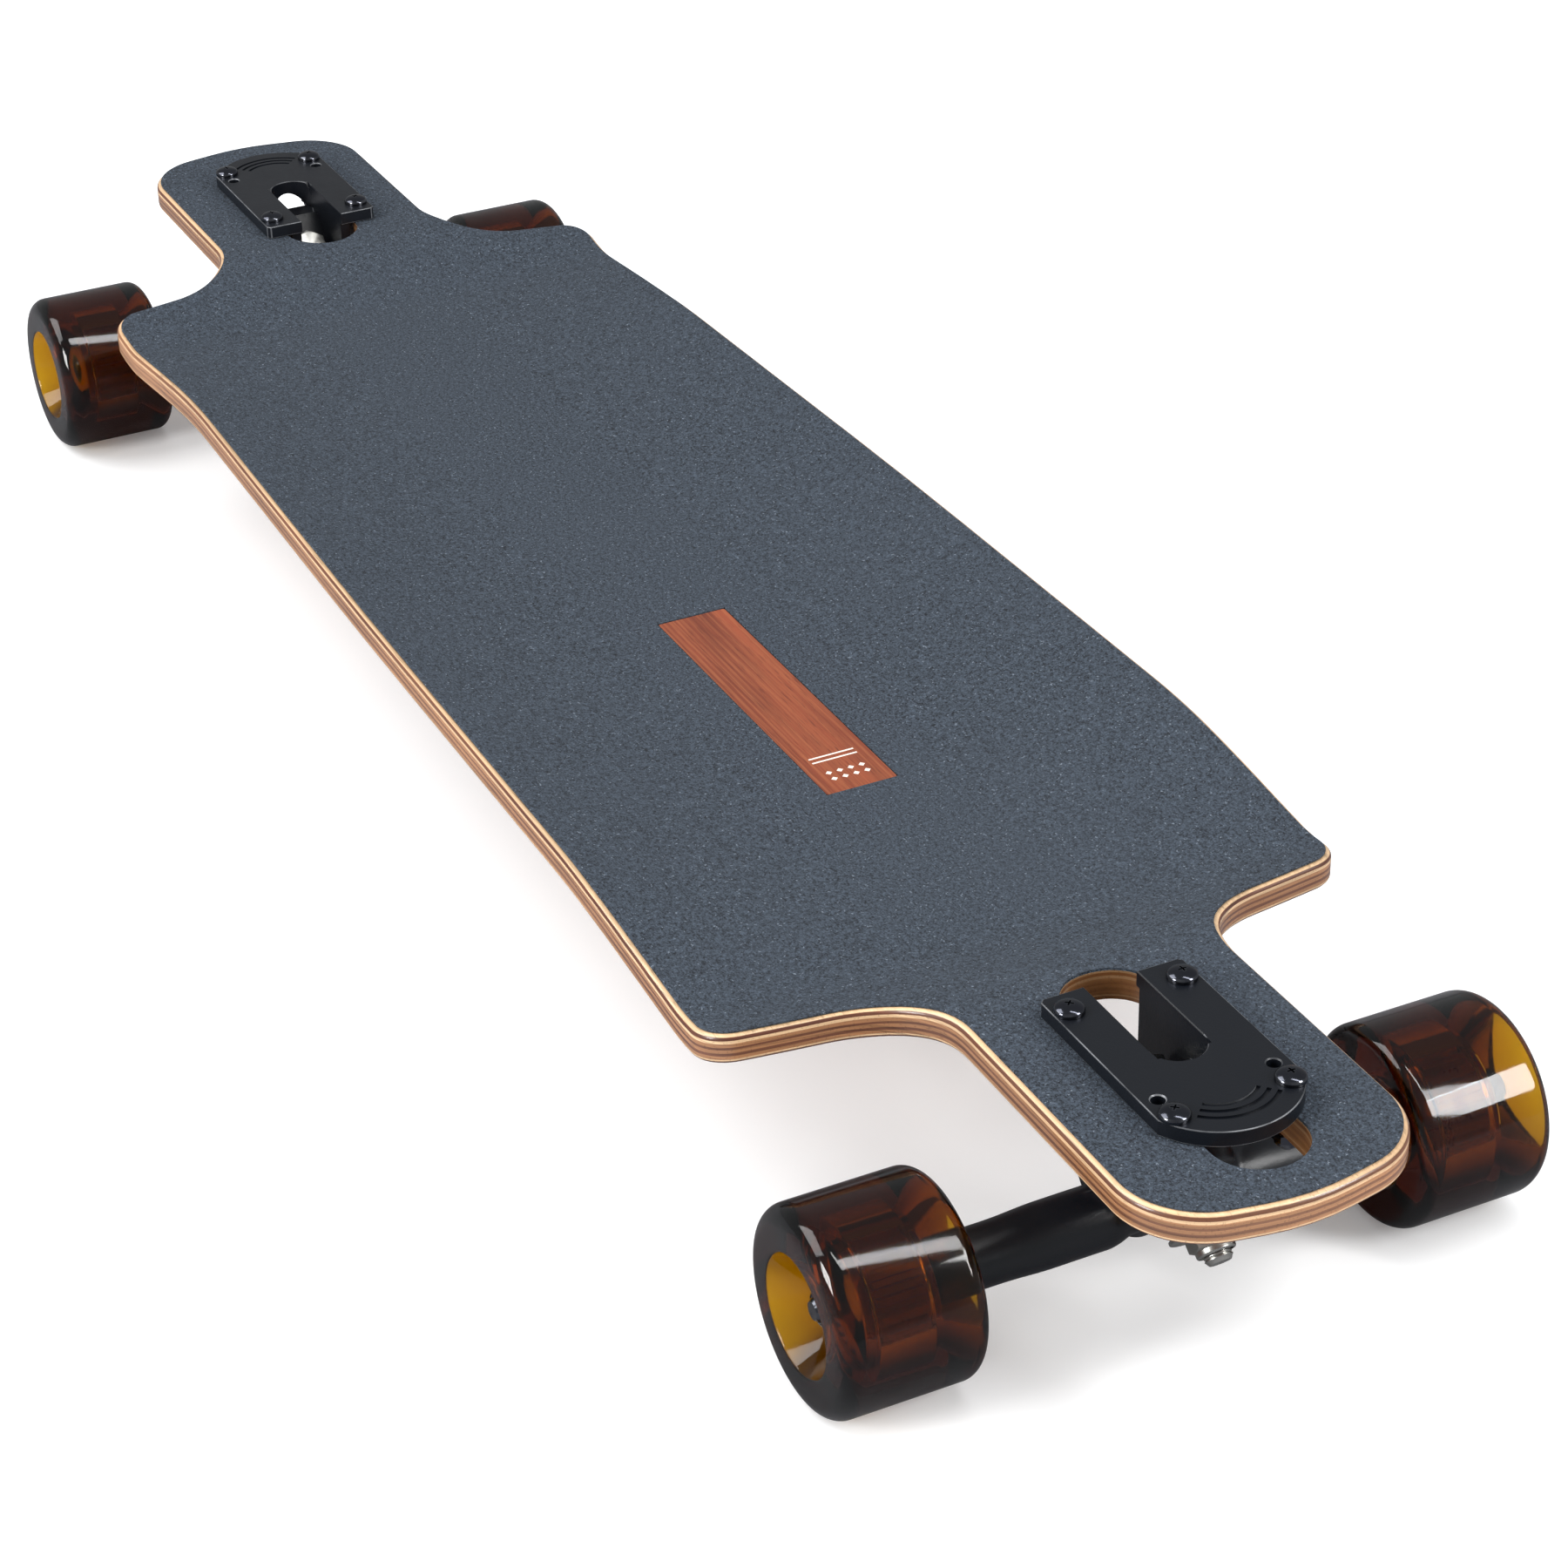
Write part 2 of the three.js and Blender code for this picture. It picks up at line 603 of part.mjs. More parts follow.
// The bar: ellipses set side by side across the board, closed by flat ends.
function hangerBar() {
  const stations = 17;
  const sides = 14;
  const positions = [];
  const index = [];
  for (let i = 0; i < stations; i++) {
    const y = HANGER_HALF * ((2 * i) / (stations - 1) - 1);
    const { bottom, top } = barSection(y);
    const reach = (top - bottom) / 2;
    const depth = Math.min(reach, HANGER_ARM_RADIUS + 0.7);
    for (let j = 0; j < sides; j++) {
      const angle = (2 * Math.PI * j) / sides;
      positions.push(RAKE + depth * Math.cos(angle), y, (top + bottom) / 2 + reach * Math.sin(angle));
    }
  }
  const at = (i, j) => i * sides + (j % sides);
  for (let i = 0; i < stations - 1; i++) {
    for (let j = 0; j < sides; j++) {
      index.push(at(i, j), at(i + 1, j), at(i + 1, j + 1));
      index.push(at(i, j), at(i + 1, j + 1), at(i, j + 1));
    }
  }
  for (let j = 1; j < sides - 1; j++) {
    index.push(at(0, 0), at(0, j), at(0, j + 1));
    index.push(at(stations - 1, 0), at(stations - 1, j + 1), at(stations - 1, j));
  }
  const geometry = new THREE.BufferGeometry();
  geometry.setAttribute("position", new THREE.Float32BufferAttribute(positions, 3));
  geometry.setIndex(index);
  return geometry;
}

// The web: the ring round the kingpin, with shoulders that sweep down to the arms.
function hangerWeb() {
  const footY = 48;
  const footDepth = 4;
  const lean = 11;
  const footZ = PIVOT_TO_AXLE + HANGER_ARM_RADIUS - 3;
  const ringTouch = THREE.MathUtils.degToRad(20);
  const sideY = RING_RADIUS * Math.cos(ringTouch);
  const sideZ = PIVOT_TO_RING - RING_RADIUS * Math.sin(ringTouch);
  const shape = new THREE.Shape();
  shape.moveTo(-footY, footZ);
  shape.lineTo(-footY, footZ - footDepth);
  shape.lineTo(footY, footZ - footDepth);
  shape.lineTo(footY, footZ);
  shape.quadraticCurveTo(sideY + lean, footZ + 3, sideY, sideZ);
  shape.absarc(0, PIVOT_TO_RING, RING_RADIUS, -ringTouch, Math.PI + ringTouch, false);
  shape.quadraticCurveTo(-sideY - lean, footZ + 3, -footY, footZ);
  const thickness = 2 * RING_HALF_THICKNESS;
  const options = { depth: thickness, bevelEnabled: false, curveSegments: 9 };
  const web = new THREE.ExtrudeGeometry(shape, options).translate(0, 0, -thickness / 2);
  return web.rotateX(Math.PI / 2).rotateZ(Math.PI / 2);
}

function makeHanger() {
  const pin = rod(PIVOT_RADIUS - 0.7, 0, 9, ROUND_SIDES);
  const ball = new THREE.SphereGeometry(PIVOT_RADIUS, BORE_SIDES, 8);
  const body = join(hangerBar(), hangerWeb(), pin, ball);
  const ringHole = rod(RING_HOLE_RADIUS, -12, 12).rotateY(Math.PI / 2).translate(0, 0, PIVOT_TO_RING);
  const axleBore = alongY(rod(AXLE_RADIUS + CLEARANCE, -HANGER_HALF - 5, HANGER_HALF + 5));
  axleBore.translate(RAKE, 0, PIVOT_TO_AXLE);
  return inSteeringFrame(cut(body, ringHole, axleBore));
}

function atAxle(geometry) {
  return geometry.translate(AXLE_X, 0, AXLE_Z);
}

function makeAxle() {
  return atAxle(alongY(rod(AXLE_RADIUS, -AXLE_HALF, AXLE_HALF)));
}

// ---- Wheels ----
// Profiles are [radius, distance from the board's centre line] for the wheel on the +Y side.
function makeTyre() {
  const coreBottom = INNER_BEARING_Y - CORE_END;
  const coreTop = OUTER_BEARING_Y + BEARING_WIDTH + CORE_END;
  const seat = CORE_RADIUS + CLEARANCE;
  return turned(
    [
      [19.5, WHEEL_INNER_Y + 0.8],
      [29.5, WHEEL_INNER_Y],
      [33.2, WHEEL_INNER_Y + 1.4],
      [WHEEL_RADIUS, WHEEL_INNER_Y + 4.8],
      [WHEEL_RADIUS, WHEEL_OUTER_Y - 7],
      [34.3, WHEEL_OUTER_Y - 3.6],
      [32.2, WHEEL_OUTER_Y - 1],
      [29, WHEEL_OUTER_Y],
      [21, WHEEL_OUTER_Y - 0.4],
      [19.8, WHEEL_OUTER_Y - 1.6],
      [SEAT_NECK, coreTop],
      [SEAT_NECK, coreTop - NECK_WIDTH],
      [seat, coreTop - NECK_WIDTH],
      [seat, coreBottom + NECK_WIDTH],
      [SEAT_NECK, coreBottom + NECK_WIDTH],
      [SEAT_NECK, coreBottom],
    ],
    WHEEL_SIDES,
  );
}

function makeCore() {
  const bottom = INNER_BEARING_Y - CORE_END;
  const top = OUTER_BEARING_Y + BEARING_WIDTH + CORE_END;
  const lowShoulder = bottom + NECK_WIDTH + CLEARANCE;
  const highShoulder = top - NECK_WIDTH - CLEARANCE;
  const seat = BEARING_RADIUS + CLEARANCE;
  const neck = SEAT_NECK - CLEARANCE;
  const innerStop = INNER_BEARING_Y + BEARING_WIDTH + CLEARANCE;
  const outerStop = OUTER_BEARING_Y - CLEARANCE;
  return turned(
    [
      [seat, bottom],
      [neck, bottom],
      [neck, lowShoulder],
      [CORE_RADIUS, lowShoulder],
      [CORE_RADIUS, highShoulder],
      [neck, highShoulder],
      [neck, top],
      [seat, top],
      [seat, outerStop],
      [BEARING_STOP, outerStop],
      [BEARING_STOP, innerStop],
      [seat, innerStop],
    ],
    BORE_SIDES,
  );
}

function makeBearing(start) {
  const ring = ringProfile(AXLE_RADIUS + CLEARANCE, BEARING_RADIUS, start, start + BEARING_WIDTH);
  return turned(ring, BORE_SIDES);
}

function makeAxleNut() {
  const end = AXLE_NUT_Y + AXLE_NUT_HEIGHT;
  const bore = rod(AXLE_RADIUS + CLEARANCE, AXLE_NUT_Y - 1, end + 1, DISC_SIDES);
  return cut(hexagon(AXLE_NUT_ACROSS, AXLE_NUT_Y, end), bore);
}

// A shape made along Z is laid on the axle of the +Y side, or turned round for the -Y side.
function onAxleSide(geometry, side) {
  const laid = alongY(geometry);
  return atAxle(side > 0 ? laid : laid.rotateZ(Math.PI));
}

// ---- Deck bolts and nuts ----
function makeBolt({ x, y }) {
  const under = PLATE_TOP + CLEARANCE;
  const end = NECK_TOP - DECK_THICKNESS - BOLT_END;
  const profile = [
    [0, end],
    [BOLT_RADIUS, end],
    [BOLT_RADIUS, under],
    [BOLT_HEAD_RADIUS, under],
    [4.4, under + 1.5],
    [2.8, under + 2.7],
    [0, under + 3],
  ];
  return turned(profile, DISC_SIDES).translate(x, y, 0);
}

function makeLockNut({ x, y }) {
  const top = NECK_TOP - DECK_THICKNESS - CLEARANCE;
  const bottom = top - LOCK_NUT_HEIGHT;
  const bore = rod(BOLT_RADIUS + CLEARANCE, bottom - 1, top + 1, DRILL_SIDES);
  return cut(hexagon(LOCK_NUT_ACROSS, bottom, top), bore).translate(x, y, 0);
}

// ---- One truck with its wheels and fasteners ----
function buildTruck(label, end) {
  const truck = new THREE.Group();
  const besideRing = RING_HALF_THICKNESS + CLEARANCE;
  truck.rotation.z = end > 0 ? 0 : Math.PI;
  const put = (name, geometry, material) => addPiece(truck, `${label}_${name}`, geometry, material);
  put("baseplate", makeBaseplate(), blackPowder);
  put("pivot_cup", makePivotCup(), darkRubber);
  put("kingpin", makeKingpin(), steel);
  put("kingpin_nut", makeKingpinNut(), steel);
  put("washer_boardside", makeWasher(SEAT_DEPTH + CLEARANCE), steel);
  put("bushing_boardside", makeBarrelBushing(-BUSHING_BOTTOM, -besideRing), honeyUrethane);
  put("bushing_roadside", makeConeBushing(besideRing, BUSHING_TOP), honeyUrethane);
  put("washer_roadside", makeWasher(BUSHING_TOP + CLEARANCE), steel);
  put("hanger", makeHanger(), blackPowder);
  put("axle", makeAxle(), steel);
  for (const side of [-1, 1]) {
    const hand = side * end > 0 ? "left" : "right";
    put(`${hand}_tyre`, onAxleSide(makeTyre(), side), amberUrethane);
    put(`${hand}_core`, onAxleSide(makeCore(), side), yellowCore);
    put(`${hand}_inner_bearing`, onAxleSide(makeBearing(INNER_BEARING_Y), side), steel);
    put(`${hand}_outer_bearing`, onAxleSide(makeBearing(OUTER_BEARING_Y), side), steel);
    put(`${hand}_axle_nut`, onAxleSide(makeAxleNut(), side), blackChrome);
  }
  boltPlaces(1).forEach((place, i) => {
    put(`deck_bolt_${i + 1}`, makeBolt(place), blackChrome);
    put(`lock_nut_${i + 1}`, makeLockNut(place), blackChrome);
  });
  return truck;
}

addPiece(board, "deck", makeDeck(), maple);
addPiece(board, "grip_sheet", makeGrip(), grit);
addPiece(board, "veneer_inlay", makeInlay(), cherryVeneer);
board.add(buildTruck("front", 1));
board.add(buildTruck("rear", -1));

export default board;
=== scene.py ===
"""Finished surfaces of a drop-through longboard, built round its working frame.

Everything is in metres, +X to the nose, +Y to the rider's left and +Z up, with the origin on the ground
under the middle of the board.
"""

import json
import math

import bmesh
import bpy
from bpy.props import FloatProperty, FloatVectorProperty, PointerProperty
from bpy.types import Operator, Panel, PropertyGroup
from mathutils import Matrix, Vector


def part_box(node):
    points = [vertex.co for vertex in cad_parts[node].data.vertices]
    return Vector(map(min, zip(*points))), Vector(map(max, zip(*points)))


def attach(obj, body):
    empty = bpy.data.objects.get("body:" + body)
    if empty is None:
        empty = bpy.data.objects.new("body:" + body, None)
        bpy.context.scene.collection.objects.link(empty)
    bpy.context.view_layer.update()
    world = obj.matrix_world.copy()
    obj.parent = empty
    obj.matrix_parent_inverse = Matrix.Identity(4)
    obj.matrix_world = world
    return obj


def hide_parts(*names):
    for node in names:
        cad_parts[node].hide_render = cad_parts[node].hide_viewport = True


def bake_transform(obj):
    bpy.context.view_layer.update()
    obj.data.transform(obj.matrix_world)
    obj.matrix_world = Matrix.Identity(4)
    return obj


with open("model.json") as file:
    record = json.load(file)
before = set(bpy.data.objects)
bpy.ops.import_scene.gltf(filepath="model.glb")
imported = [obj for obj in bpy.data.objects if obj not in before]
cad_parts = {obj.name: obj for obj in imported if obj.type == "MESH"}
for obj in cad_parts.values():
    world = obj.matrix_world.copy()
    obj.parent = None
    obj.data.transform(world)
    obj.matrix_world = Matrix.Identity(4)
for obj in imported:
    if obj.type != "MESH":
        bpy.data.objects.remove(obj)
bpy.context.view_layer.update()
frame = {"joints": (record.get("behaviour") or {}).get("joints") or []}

bl_info = {
    "name": "Drop-through longboard",
    "version": (1, 0, 0),
    "blender": (4, 5, 0),
    "location": "3D View > Sidebar > Longboard",
    "description": "Builds the finished surfaces of a drop-through longboard round its working frame",
    "category": "Add Mesh",
}

MM = 0.001
WELD = 0.000004  # points closer than this are one point
HALF_TURN = Matrix.Rotation(math.pi, 4, "Z")
LAY_ALONG_Y = Matrix.Rotation(-math.pi / 2, 4, "X")
LAY_ALONG_X = Matrix.Rotation(math.pi / 2, 4, "Y")


# ---- Sizes and colours ----
def length(name, description, millimetres):
    return FloatProperty(
        name=name, description=description, default=millimetres * MM, precision=5, unit="LENGTH"
    )


def colour(name, description, hex_code):
    return FloatVectorProperty(
        name=name, description=description, default=linear(hex_code), size=4, subtype="COLOR", min=0, max=1
    )


def linear(hex_code):
    """A colour written as on a paint card, as the linear values that light works with."""
    channels = [int(hex_code[i : i + 2], 16) / 255 for i in (0, 2, 4)]
    values = [c / 12.92 if c <= 0.04045 else ((c + 0.055) / 1.055) ** 2.4 for c in channels]
    return (*values, 1.0)


class DeckSizes(PropertyGroup):
    """Form of the laminated deck and of what is bonded to it."""

    half_length: length("Half length", "Middle of the board to the nose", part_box("deck")[1].x / MM)
    thickness: length("Thickness", "Thickness of the laminate", 11.0)
    platform_height: length("Platform height", "Wooden top along the centre line", 79.6)
    neck_height: length("Neck height", "Wooden top where the trucks are bolted", 92.5)
    drop_start: length("Drop start", "Where the deck starts to rise to the neck", 288)
    drop_end: length("Drop end", "Where the rise to the neck ends", 352)
    concave: length("Concave", "How far the rails stand above the centre line", 12.8)
    concave_fade_start: length("Concave fade start", "Where the concave starts to flatten", 190)
    concave_fade_end: length("Concave fade end", "Where the concave is gone", 345)
    flat_half_width: length("Flat half width", "Half of the flat middle strip", 22)
    rail_half_width: length("Rail half width", "Half width at which the full concave is reached", 119)
    edge_rounding: length("Edge rounding", "Radius of the rounded rail edges", 2.1)
    grip_margin: length("Grip margin", "Bare wood left round the grip sheet", 2.0)
    grip_thickness: length("Grip thickness", "Thickness of the grip sheet", 1.0)
    inlay_rounding: length("Inlay rounding", "Corner radius of the veneer inlay", 1.0)


class TruckSizes(PropertyGroup):
    """Sizes of one reverse-kingpin truck."""

    pivot_to_axle: length("Pivot to axle", "Along the steering axis", 13)
    rake: length("Rake", "Axle's distance from the steering axis", 3)
    pivot_to_ring: length("Pivot to ring", "Along the steering axis to the hanger's ring", 37)
    bolt_centre: length("Bolt centre", "Middle of the bolt pattern from the board's middle", 402)
    bolt_spacing_x: length("Bolt spacing along", "Bolt spacing along the board", 63.5)
    bolt_spacing_y: length("Bolt spacing across", "Bolt spacing across the board", 41.3)
    plate_end_centre: length("Plate end centre", "Centre of the plate's round end", 421.8)
    plate_end_radius: length("Plate end radius", "Radius of the plate's round end", 28.5)
    slot_half_width: length("Slot half width", "Half width of the kingpin slot", 9.7)
    cheek_half_width: length("Cheek half width", "Half width of the wedge under the plate", 14.5)
    kingpin_radius: length("Kingpin radius", "Shank of the kingpin", 4.75)
    bushing_radius: length("Bushing radius", "Outer radius of the bushings", 12.2)
    hanger_half: length("Hanger half", "Middle of the hanger to the end of its arm", 90)
    arm_radius: length("Arm radius", "Radius of the hanger's arms", 10.3)
    ring_radius: length("Ring radius", "Outer radius of the hanger's ring", 17)
    axle_radius: length("Axle radius", "Radius of the axle", 4)


class WheelSizes(PropertyGroup):
    """Sizes of one wheel, with distances measured from the board's centre line."""

    radius: length("Wheel radius", "Outer radius of the tyre", 35)
    inner_face: length("Inner face", "Face of the tyre beside the hanger", 78.9)
    outer_face: length("Outer face", "Face of the tyre away from the hanger", 129.6)
    lip_rounding: length("Lip rounding", "Radius of the tyre's rounded lips", 6.6)
    core_radius: length("Core radius", "Outer radius of the core's ribs", 17)
    bearing_radius: length("Bearing radius", "Outer radius of a bearing", 11)
    bearing_width: length("Bearing width", "Width of a bearing", 7)
    inner_bearing: length("Inner bearing", "Where the inner bearing starts", 91)
    outer_bearing: length("Outer bearing", "Where the outer bearing starts", 108)


class Colours(PropertyGroup):
    """Colours of the finishes."""

    veneer_dark: colour("Dark veneer", "Stained veneer near the faces of the deck", "5A2C18")
    maple_pale: colour("Pale maple", "Palest plies", "D9B58C")
    maple_tan: colour("Tan maple", "Warm plies", "9C6E4B")
    walnut: colour("Walnut plies", "Darkest plies", "6A4230")
    hole_stain: colour("Hole stain", "Sealer on the walls of the holes", "6B4420")
    # The two grip tones are partly the grit's own mottle and partly painted shade in its valleys and painted light on
    # its grains.
    grip_dark: colour("Grip valleys", "Darkest part of the grit", "0B1018")
    grip_light: colour("Grip grains", "Lit grains of the grit", "47525F")
    inlay_red: colour("Inlay", "Stained veneer of the inlay", "9C4A2A")
    inlay_deep: colour("Inlay pores", "Pores of the inlay veneer", "5A2412")
    foil: colour("Foil lines", "Pale printed lines on the inlay", "E8DDD2")
    casting_black: colour("Truck black", "Powder coat of the trucks", "0E1117")
    worn_metal: colour("Worn metal", "Metal that shows on worn edges", "9A9CA0")
    black_chrome: colour("Black chrome", "Plating of the deck bolts and nuts", "4E5058")
    zinc: colour("Zinc", "Plated steel", "C9C8C2")
    nylon: colour("Nylon", "Locking insert of the nuts", "20242E")
    honey: colour("Bushings", "Honey urethane", "C98F1E")
    core: colour("Wheel core", "Amber core of the wheels", "C88A12")


class StageSizes(PropertyGroup):
    """Camera and floor."""

    lens: FloatProperty(name="Lens", description="Focal length in millimetres", default=87.71, min=10)
    floor_size: FloatProperty(name="Floor", description="Width of the floor", default=14, unit="LENGTH")


def deck_sizes():
    return bpy.context.scene.longboard_deck


def truck_sizes():
    return bpy.context.scene.longboard_truck


def wheel_sizes():
    return bpy.context.scene.longboard_wheel


def tones():
    return bpy.context.scene.longboard_colours


# ---- Selecting, welding and finishing ----
def clear_selection():
    if bpy.context.mode != "OBJECT":
        bpy.ops.object.mode_set(mode="OBJECT")
    bpy.ops.object.select_all(action="DESELECT")


def pick(piece):
    clear_selection()
    piece.select_set(True)
    bpy.context.view_layer.objects.active = piece


def named(name):
    piece = bpy.context.active_object
    piece.name = name
    piece.data.name = name
    return piece


def close_up(piece):
    """Welds doubled points, drops empty faces and loose edges, and turns all faces outwards."""
    pick(piece)
    bpy.ops.object.mode_set(mode="EDIT")
    bpy.ops.mesh.select_all(action="SELECT")
    bpy.ops.mesh.remove_doubles(threshold=WELD)
    bpy.ops.mesh.dissolve_degenerate(threshold=WELD)
    bpy.ops.mesh.delete_loose()
    bpy.ops.mesh.select_all(action="SELECT")
    bpy.ops.mesh.normals_make_consistent(inside=False)
    bpy.ops.object.mode_set(mode="OBJECT")


def apply_modifier(piece, kind, **settings):
    pick(piece)
    bpy.ops.object.modifier_add(type=kind)
    modifier = piece.modifiers[-1]
    for key, value in settings.items():
        setattr(modifier, key, value)
    bpy.ops.object.modifier_apply(modifier=modifier.name)


def boolean(piece, tool, operation):
    apply_modifier(piece, "BOOLEAN", operation=operation, solver="EXACT", object=tool)
    bpy.data.objects.remove(tool)


def cut(piece, *tools):
    for tool in tools:
        boolean(piece, tool, "DIFFERENCE")


def join_on(piece, *others):
    for other in others:
        boolean(piece, other, "UNION")


def bevel(piece, width, segments=3, angle=40):
    apply_modifier(
        piece,
        "BEVEL",
        width=width,
        segments=segments,
        limit_method="ANGLE",
        angle_limit=math.radians(angle),
        use_clamp_overlap=True,
    )


def place(piece, matrix):
    piece.data.transform(matrix)
    return piece


def mark_edges(piece):
    """Stores on each face how much of an edge it is: 1 on the narrow strips where the surface turns."""
    widest_strip = 0.8 * MM
    least_turn = math.radians(9)
    solid = bmesh.new()
    solid.from_mesh(piece.data)
    marks = []
    for face in solid.faces:
        width = 2 * face.calc_area() / face.calc_perimeter()
        turn = max(edge.calc_face_angle(0) for edge in face.edges)
        marks.append(1.0 if width < widest_strip / 2 and turn > least_turn else 0.0)
    solid.free()
    layer = piece.data.attributes.new("edge", "FLOAT", "FACE")
    layer.data.foreach_set("value", marks)


def finish_skin(piece, angle=32, even=True, worn=True):
    """Smooth shading that keeps real edges, with large flats kept flat, and the edge mask for wear."""
    pick(piece)
    bpy.ops.object.shade_smooth_by_angle(angle=math.radians(angle))
    if even:
        apply_modifier(piece, "WEIGHTED_NORMAL", keep_sharp=True, weight=60)
    if worn:
        mark_edges(piece)
    return piece


# ---- Outlines ----
def rounded_corner(before, corner, after, radius, step):
    at = Vector(corner)
    if radius == 0:
        return [at]
    inward = (Vector(before) - at).normalized()
    outward = (Vector(after) - at).normalized()
    half_angle = inward.angle(outward) / 2
    centre = at + (inward + outward).normalized() * (radius / math.sin(half_angle))
    reach = radius / math.tan(half_angle)
    start = at + inward * reach - centre
    end = at + outward * reach - centre
    turn = math.atan2(start.cross(end), start.dot(end))
    count = max(2, 2 * round(abs(turn) / step / 2))
    return [centre + Matrix.Rotation(turn * i / count, 2) @ start for i in range(count + 1)]


def rounded(corners, step=math.radians(10)):
    """A closed outline from (a, b, radius) corners."""
    points = []
    for i, (a, b, radius) in enumerate(corners):
        before = corners[i - 1][:2]
        after = corners[(i + 1) % len(corners)][:2]
        points += rounded_corner(before, (a, b), after, radius, step)
    return points


def in_millimetres(corners):
    return [tuple(value * MM for value in corner) for corner in corners]


def arc(radius, start, end, count, centre=(0, 0)):
    angles = [start + (end - start) * i / count for i in range(count + 1)]
    return [Vector((centre[0] + radius * math.cos(a), centre[1] + radius * math.sin(a))) for a in angles]


def stadium(start, end, half_width, count=24):
    right = arc(half_width, -math.pi / 2, math.pi / 2, count, (end - half_width, 0))
    left = arc(half_width, math.pi / 2, 1.5 * math.pi, count, (start + half_width, 0))
    return right + left


# ---- Shapes from primitives ----
def placed_loop(name, points, fill):
    clear_selection()
    bpy.ops.mesh.primitive_circle_add(vertices=len(points), fill_type=fill)
    piece = named(name)
    for vertex, point in zip(piece.data.vertices, points):
        vertex.co = point
    return piece


def prism(name, outline, low, high):
    """A flat outline in X and Y, extruded from one height to another."""
    piece = placed_loop(name, [(p[0], p[1], low) for p in outline], "NGON")
    pick(piece)
    bpy.ops.object.mode_set(mode="EDIT")
    bpy.ops.mesh.select_all(action="SELECT")
    bpy.ops.mesh.extrude_region_move(TRANSFORM_OT_translate={"value": (0, 0, high - low)})
    bpy.ops.object.mode_set(mode="OBJECT")
    close_up(piece)
    return piece


def spun(name, profile, steps=64):
    """A closed profile of (radius, height), spun about Z."""
    piece = placed_loop(name, [(p[0], 0, p[1]) for p in profile], "NOTHING")
    pick(piece)
    bpy.ops.object.mode_set(mode="EDIT")
    bpy.ops.mesh.select_all(action="SELECT")
    bpy.ops.mesh.spin(steps=steps, angle=2 * math.pi, center=(0, 0, 0), axis=(0, 0, 1))
    bpy.ops.object.mode_set(mode="OBJECT")
    close_up(piece)
    return piece


def block(name, size, centre):
    clear_selection()
    bpy.ops.mesh.primitive_cube_add(size=1)
    piece = named(name)
    return place(piece, Matrix.Translation(centre) @ Matrix.Diagonal((*size, 1)))


def rod(name, radius, low, high, steps=48):
    return spun(name, [(0, low), (radius, low), (radius, high), (0, high)], steps)


def wrapped_grid(name, rows, columns, point_at):
    """A grid rolled into a closed skin, with its last column on its first."""
    clear_selection()
    bpy.ops.mesh.primitive_grid_add(x_subdivisions=rows - 1, y_subdivisions=columns, size=2)
    piece = named(name)
    for vertex in piece.data.vertices:
        row = round((vertex.co.x + 1) / 2 * (rows - 1))
        column = round((vertex.co.y + 1) / 2 * columns) % columns
        vertex.co = point_at(row, column)
    close_up(piece)
    return piece


def threaded(radius, low, high, pitch, depth):
    """Profile points of a threaded stretch, from low to high."""
    count = max(1, round((high - low) / pitch))
    points = []
    for i in range(count):
        start = low + (high - low) * i / count
        points.append((radius - depth, start))
        points.append((radius, start + 0.35 * pitch))
        points.append((radius, start + 0.65 * pitch))
    points.append((radius - depth, high))
    return points


# ---- Fitting to the frame ----
def fit(piece, body, nodes, material):
    piece.data.materials.clear()
    piece.data.materials.append(material)
    if nodes:
        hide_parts(*nodes)
    if body:
        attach(piece, body)
    return piece


def copy_of(piece, name, matrix):
    clear_selection()
    twin = piece.copy()
    twin.data = piece.data.copy()
    twin.name = name
    twin.data.name = name
    bpy.context.scene.collection.objects.link(twin)
    return place(twin, matrix)


def fit_both_trucks(piece, part, material, on_hanger=False, replaces_node=True):
    """The front truck's piece and its twin on the rear truck, half a turn round."""
    twins = [("rear", copy_of(piece, f"rear_{part}_skin", HALF_TURN)), ("front", piece)]
    piece.name = f"front_{part}_skin"
    for end, twin in twins:
        body = f"{end}_hanger_body" if on_hanger else "board"
        nodes = [f"{end}_{part}"] if replaces_node else []
        fit(twin, body, nodes, material)
    return dict(twins)


def wheel_places():
    """Each wheel's name and the place that takes a piece made on an axle along Y to it."""
    spins = [joint for joint in frame["joints"] if joint["name"].endswith("_spin")]
    for number, joint in enumerate(spins):
        x, y, z = joint["pos_m"]
        side = Matrix.Identity(4) if y > 0 else HALF_TURN
        turned = Matrix.Rotation(0.7 + 1.9 * number, 4, "Y")
        yield joint["name"].removesuffix("_spin"), Matrix.Translation((x, 0, z)) @ side @ turned


def fit_four_wheels(piece, part, material, on_hanger=False, replaces_node=True):
    for wheel, matrix in wheel_places():
        end = wheel.split("_")[0]
        twin = copy_of(piece, f"{wheel}_{part}_skin", matrix)
        body = f"{end}_hanger_body" if on_hanger else f"{wheel}_wheel"
        nodes = [f"{wheel}_{part}"] if replaces_node else []
        fit(twin, body, nodes, material)
    bpy.data.objects.remove(piece)


def steering_frame():
    """Local Z is the front truck's steering axis, local Y is across and local X runs to the kingpin nut."""
    joint = next(joint for joint in frame["joints"] if joint["name"] == "front_steer")
    steer = Vector(joint["axis"])
    across = Vector((0, 1, 0))
    pin = across.cross(steer)
    turn = Matrix((pin, across, steer)).transposed().to_4x4()
    return Matrix.Translation(joint["pos_m"]) @ turn


def kingpin_frame():
    """Local Z runs along the kingpin to its nut, from the middle of the hanger's ring."""
    lift = Matrix.Translation((0, 0, truck_sizes().pivot_to_ring))
    return steering_frame() @ lift @ LAY_ALONG_X


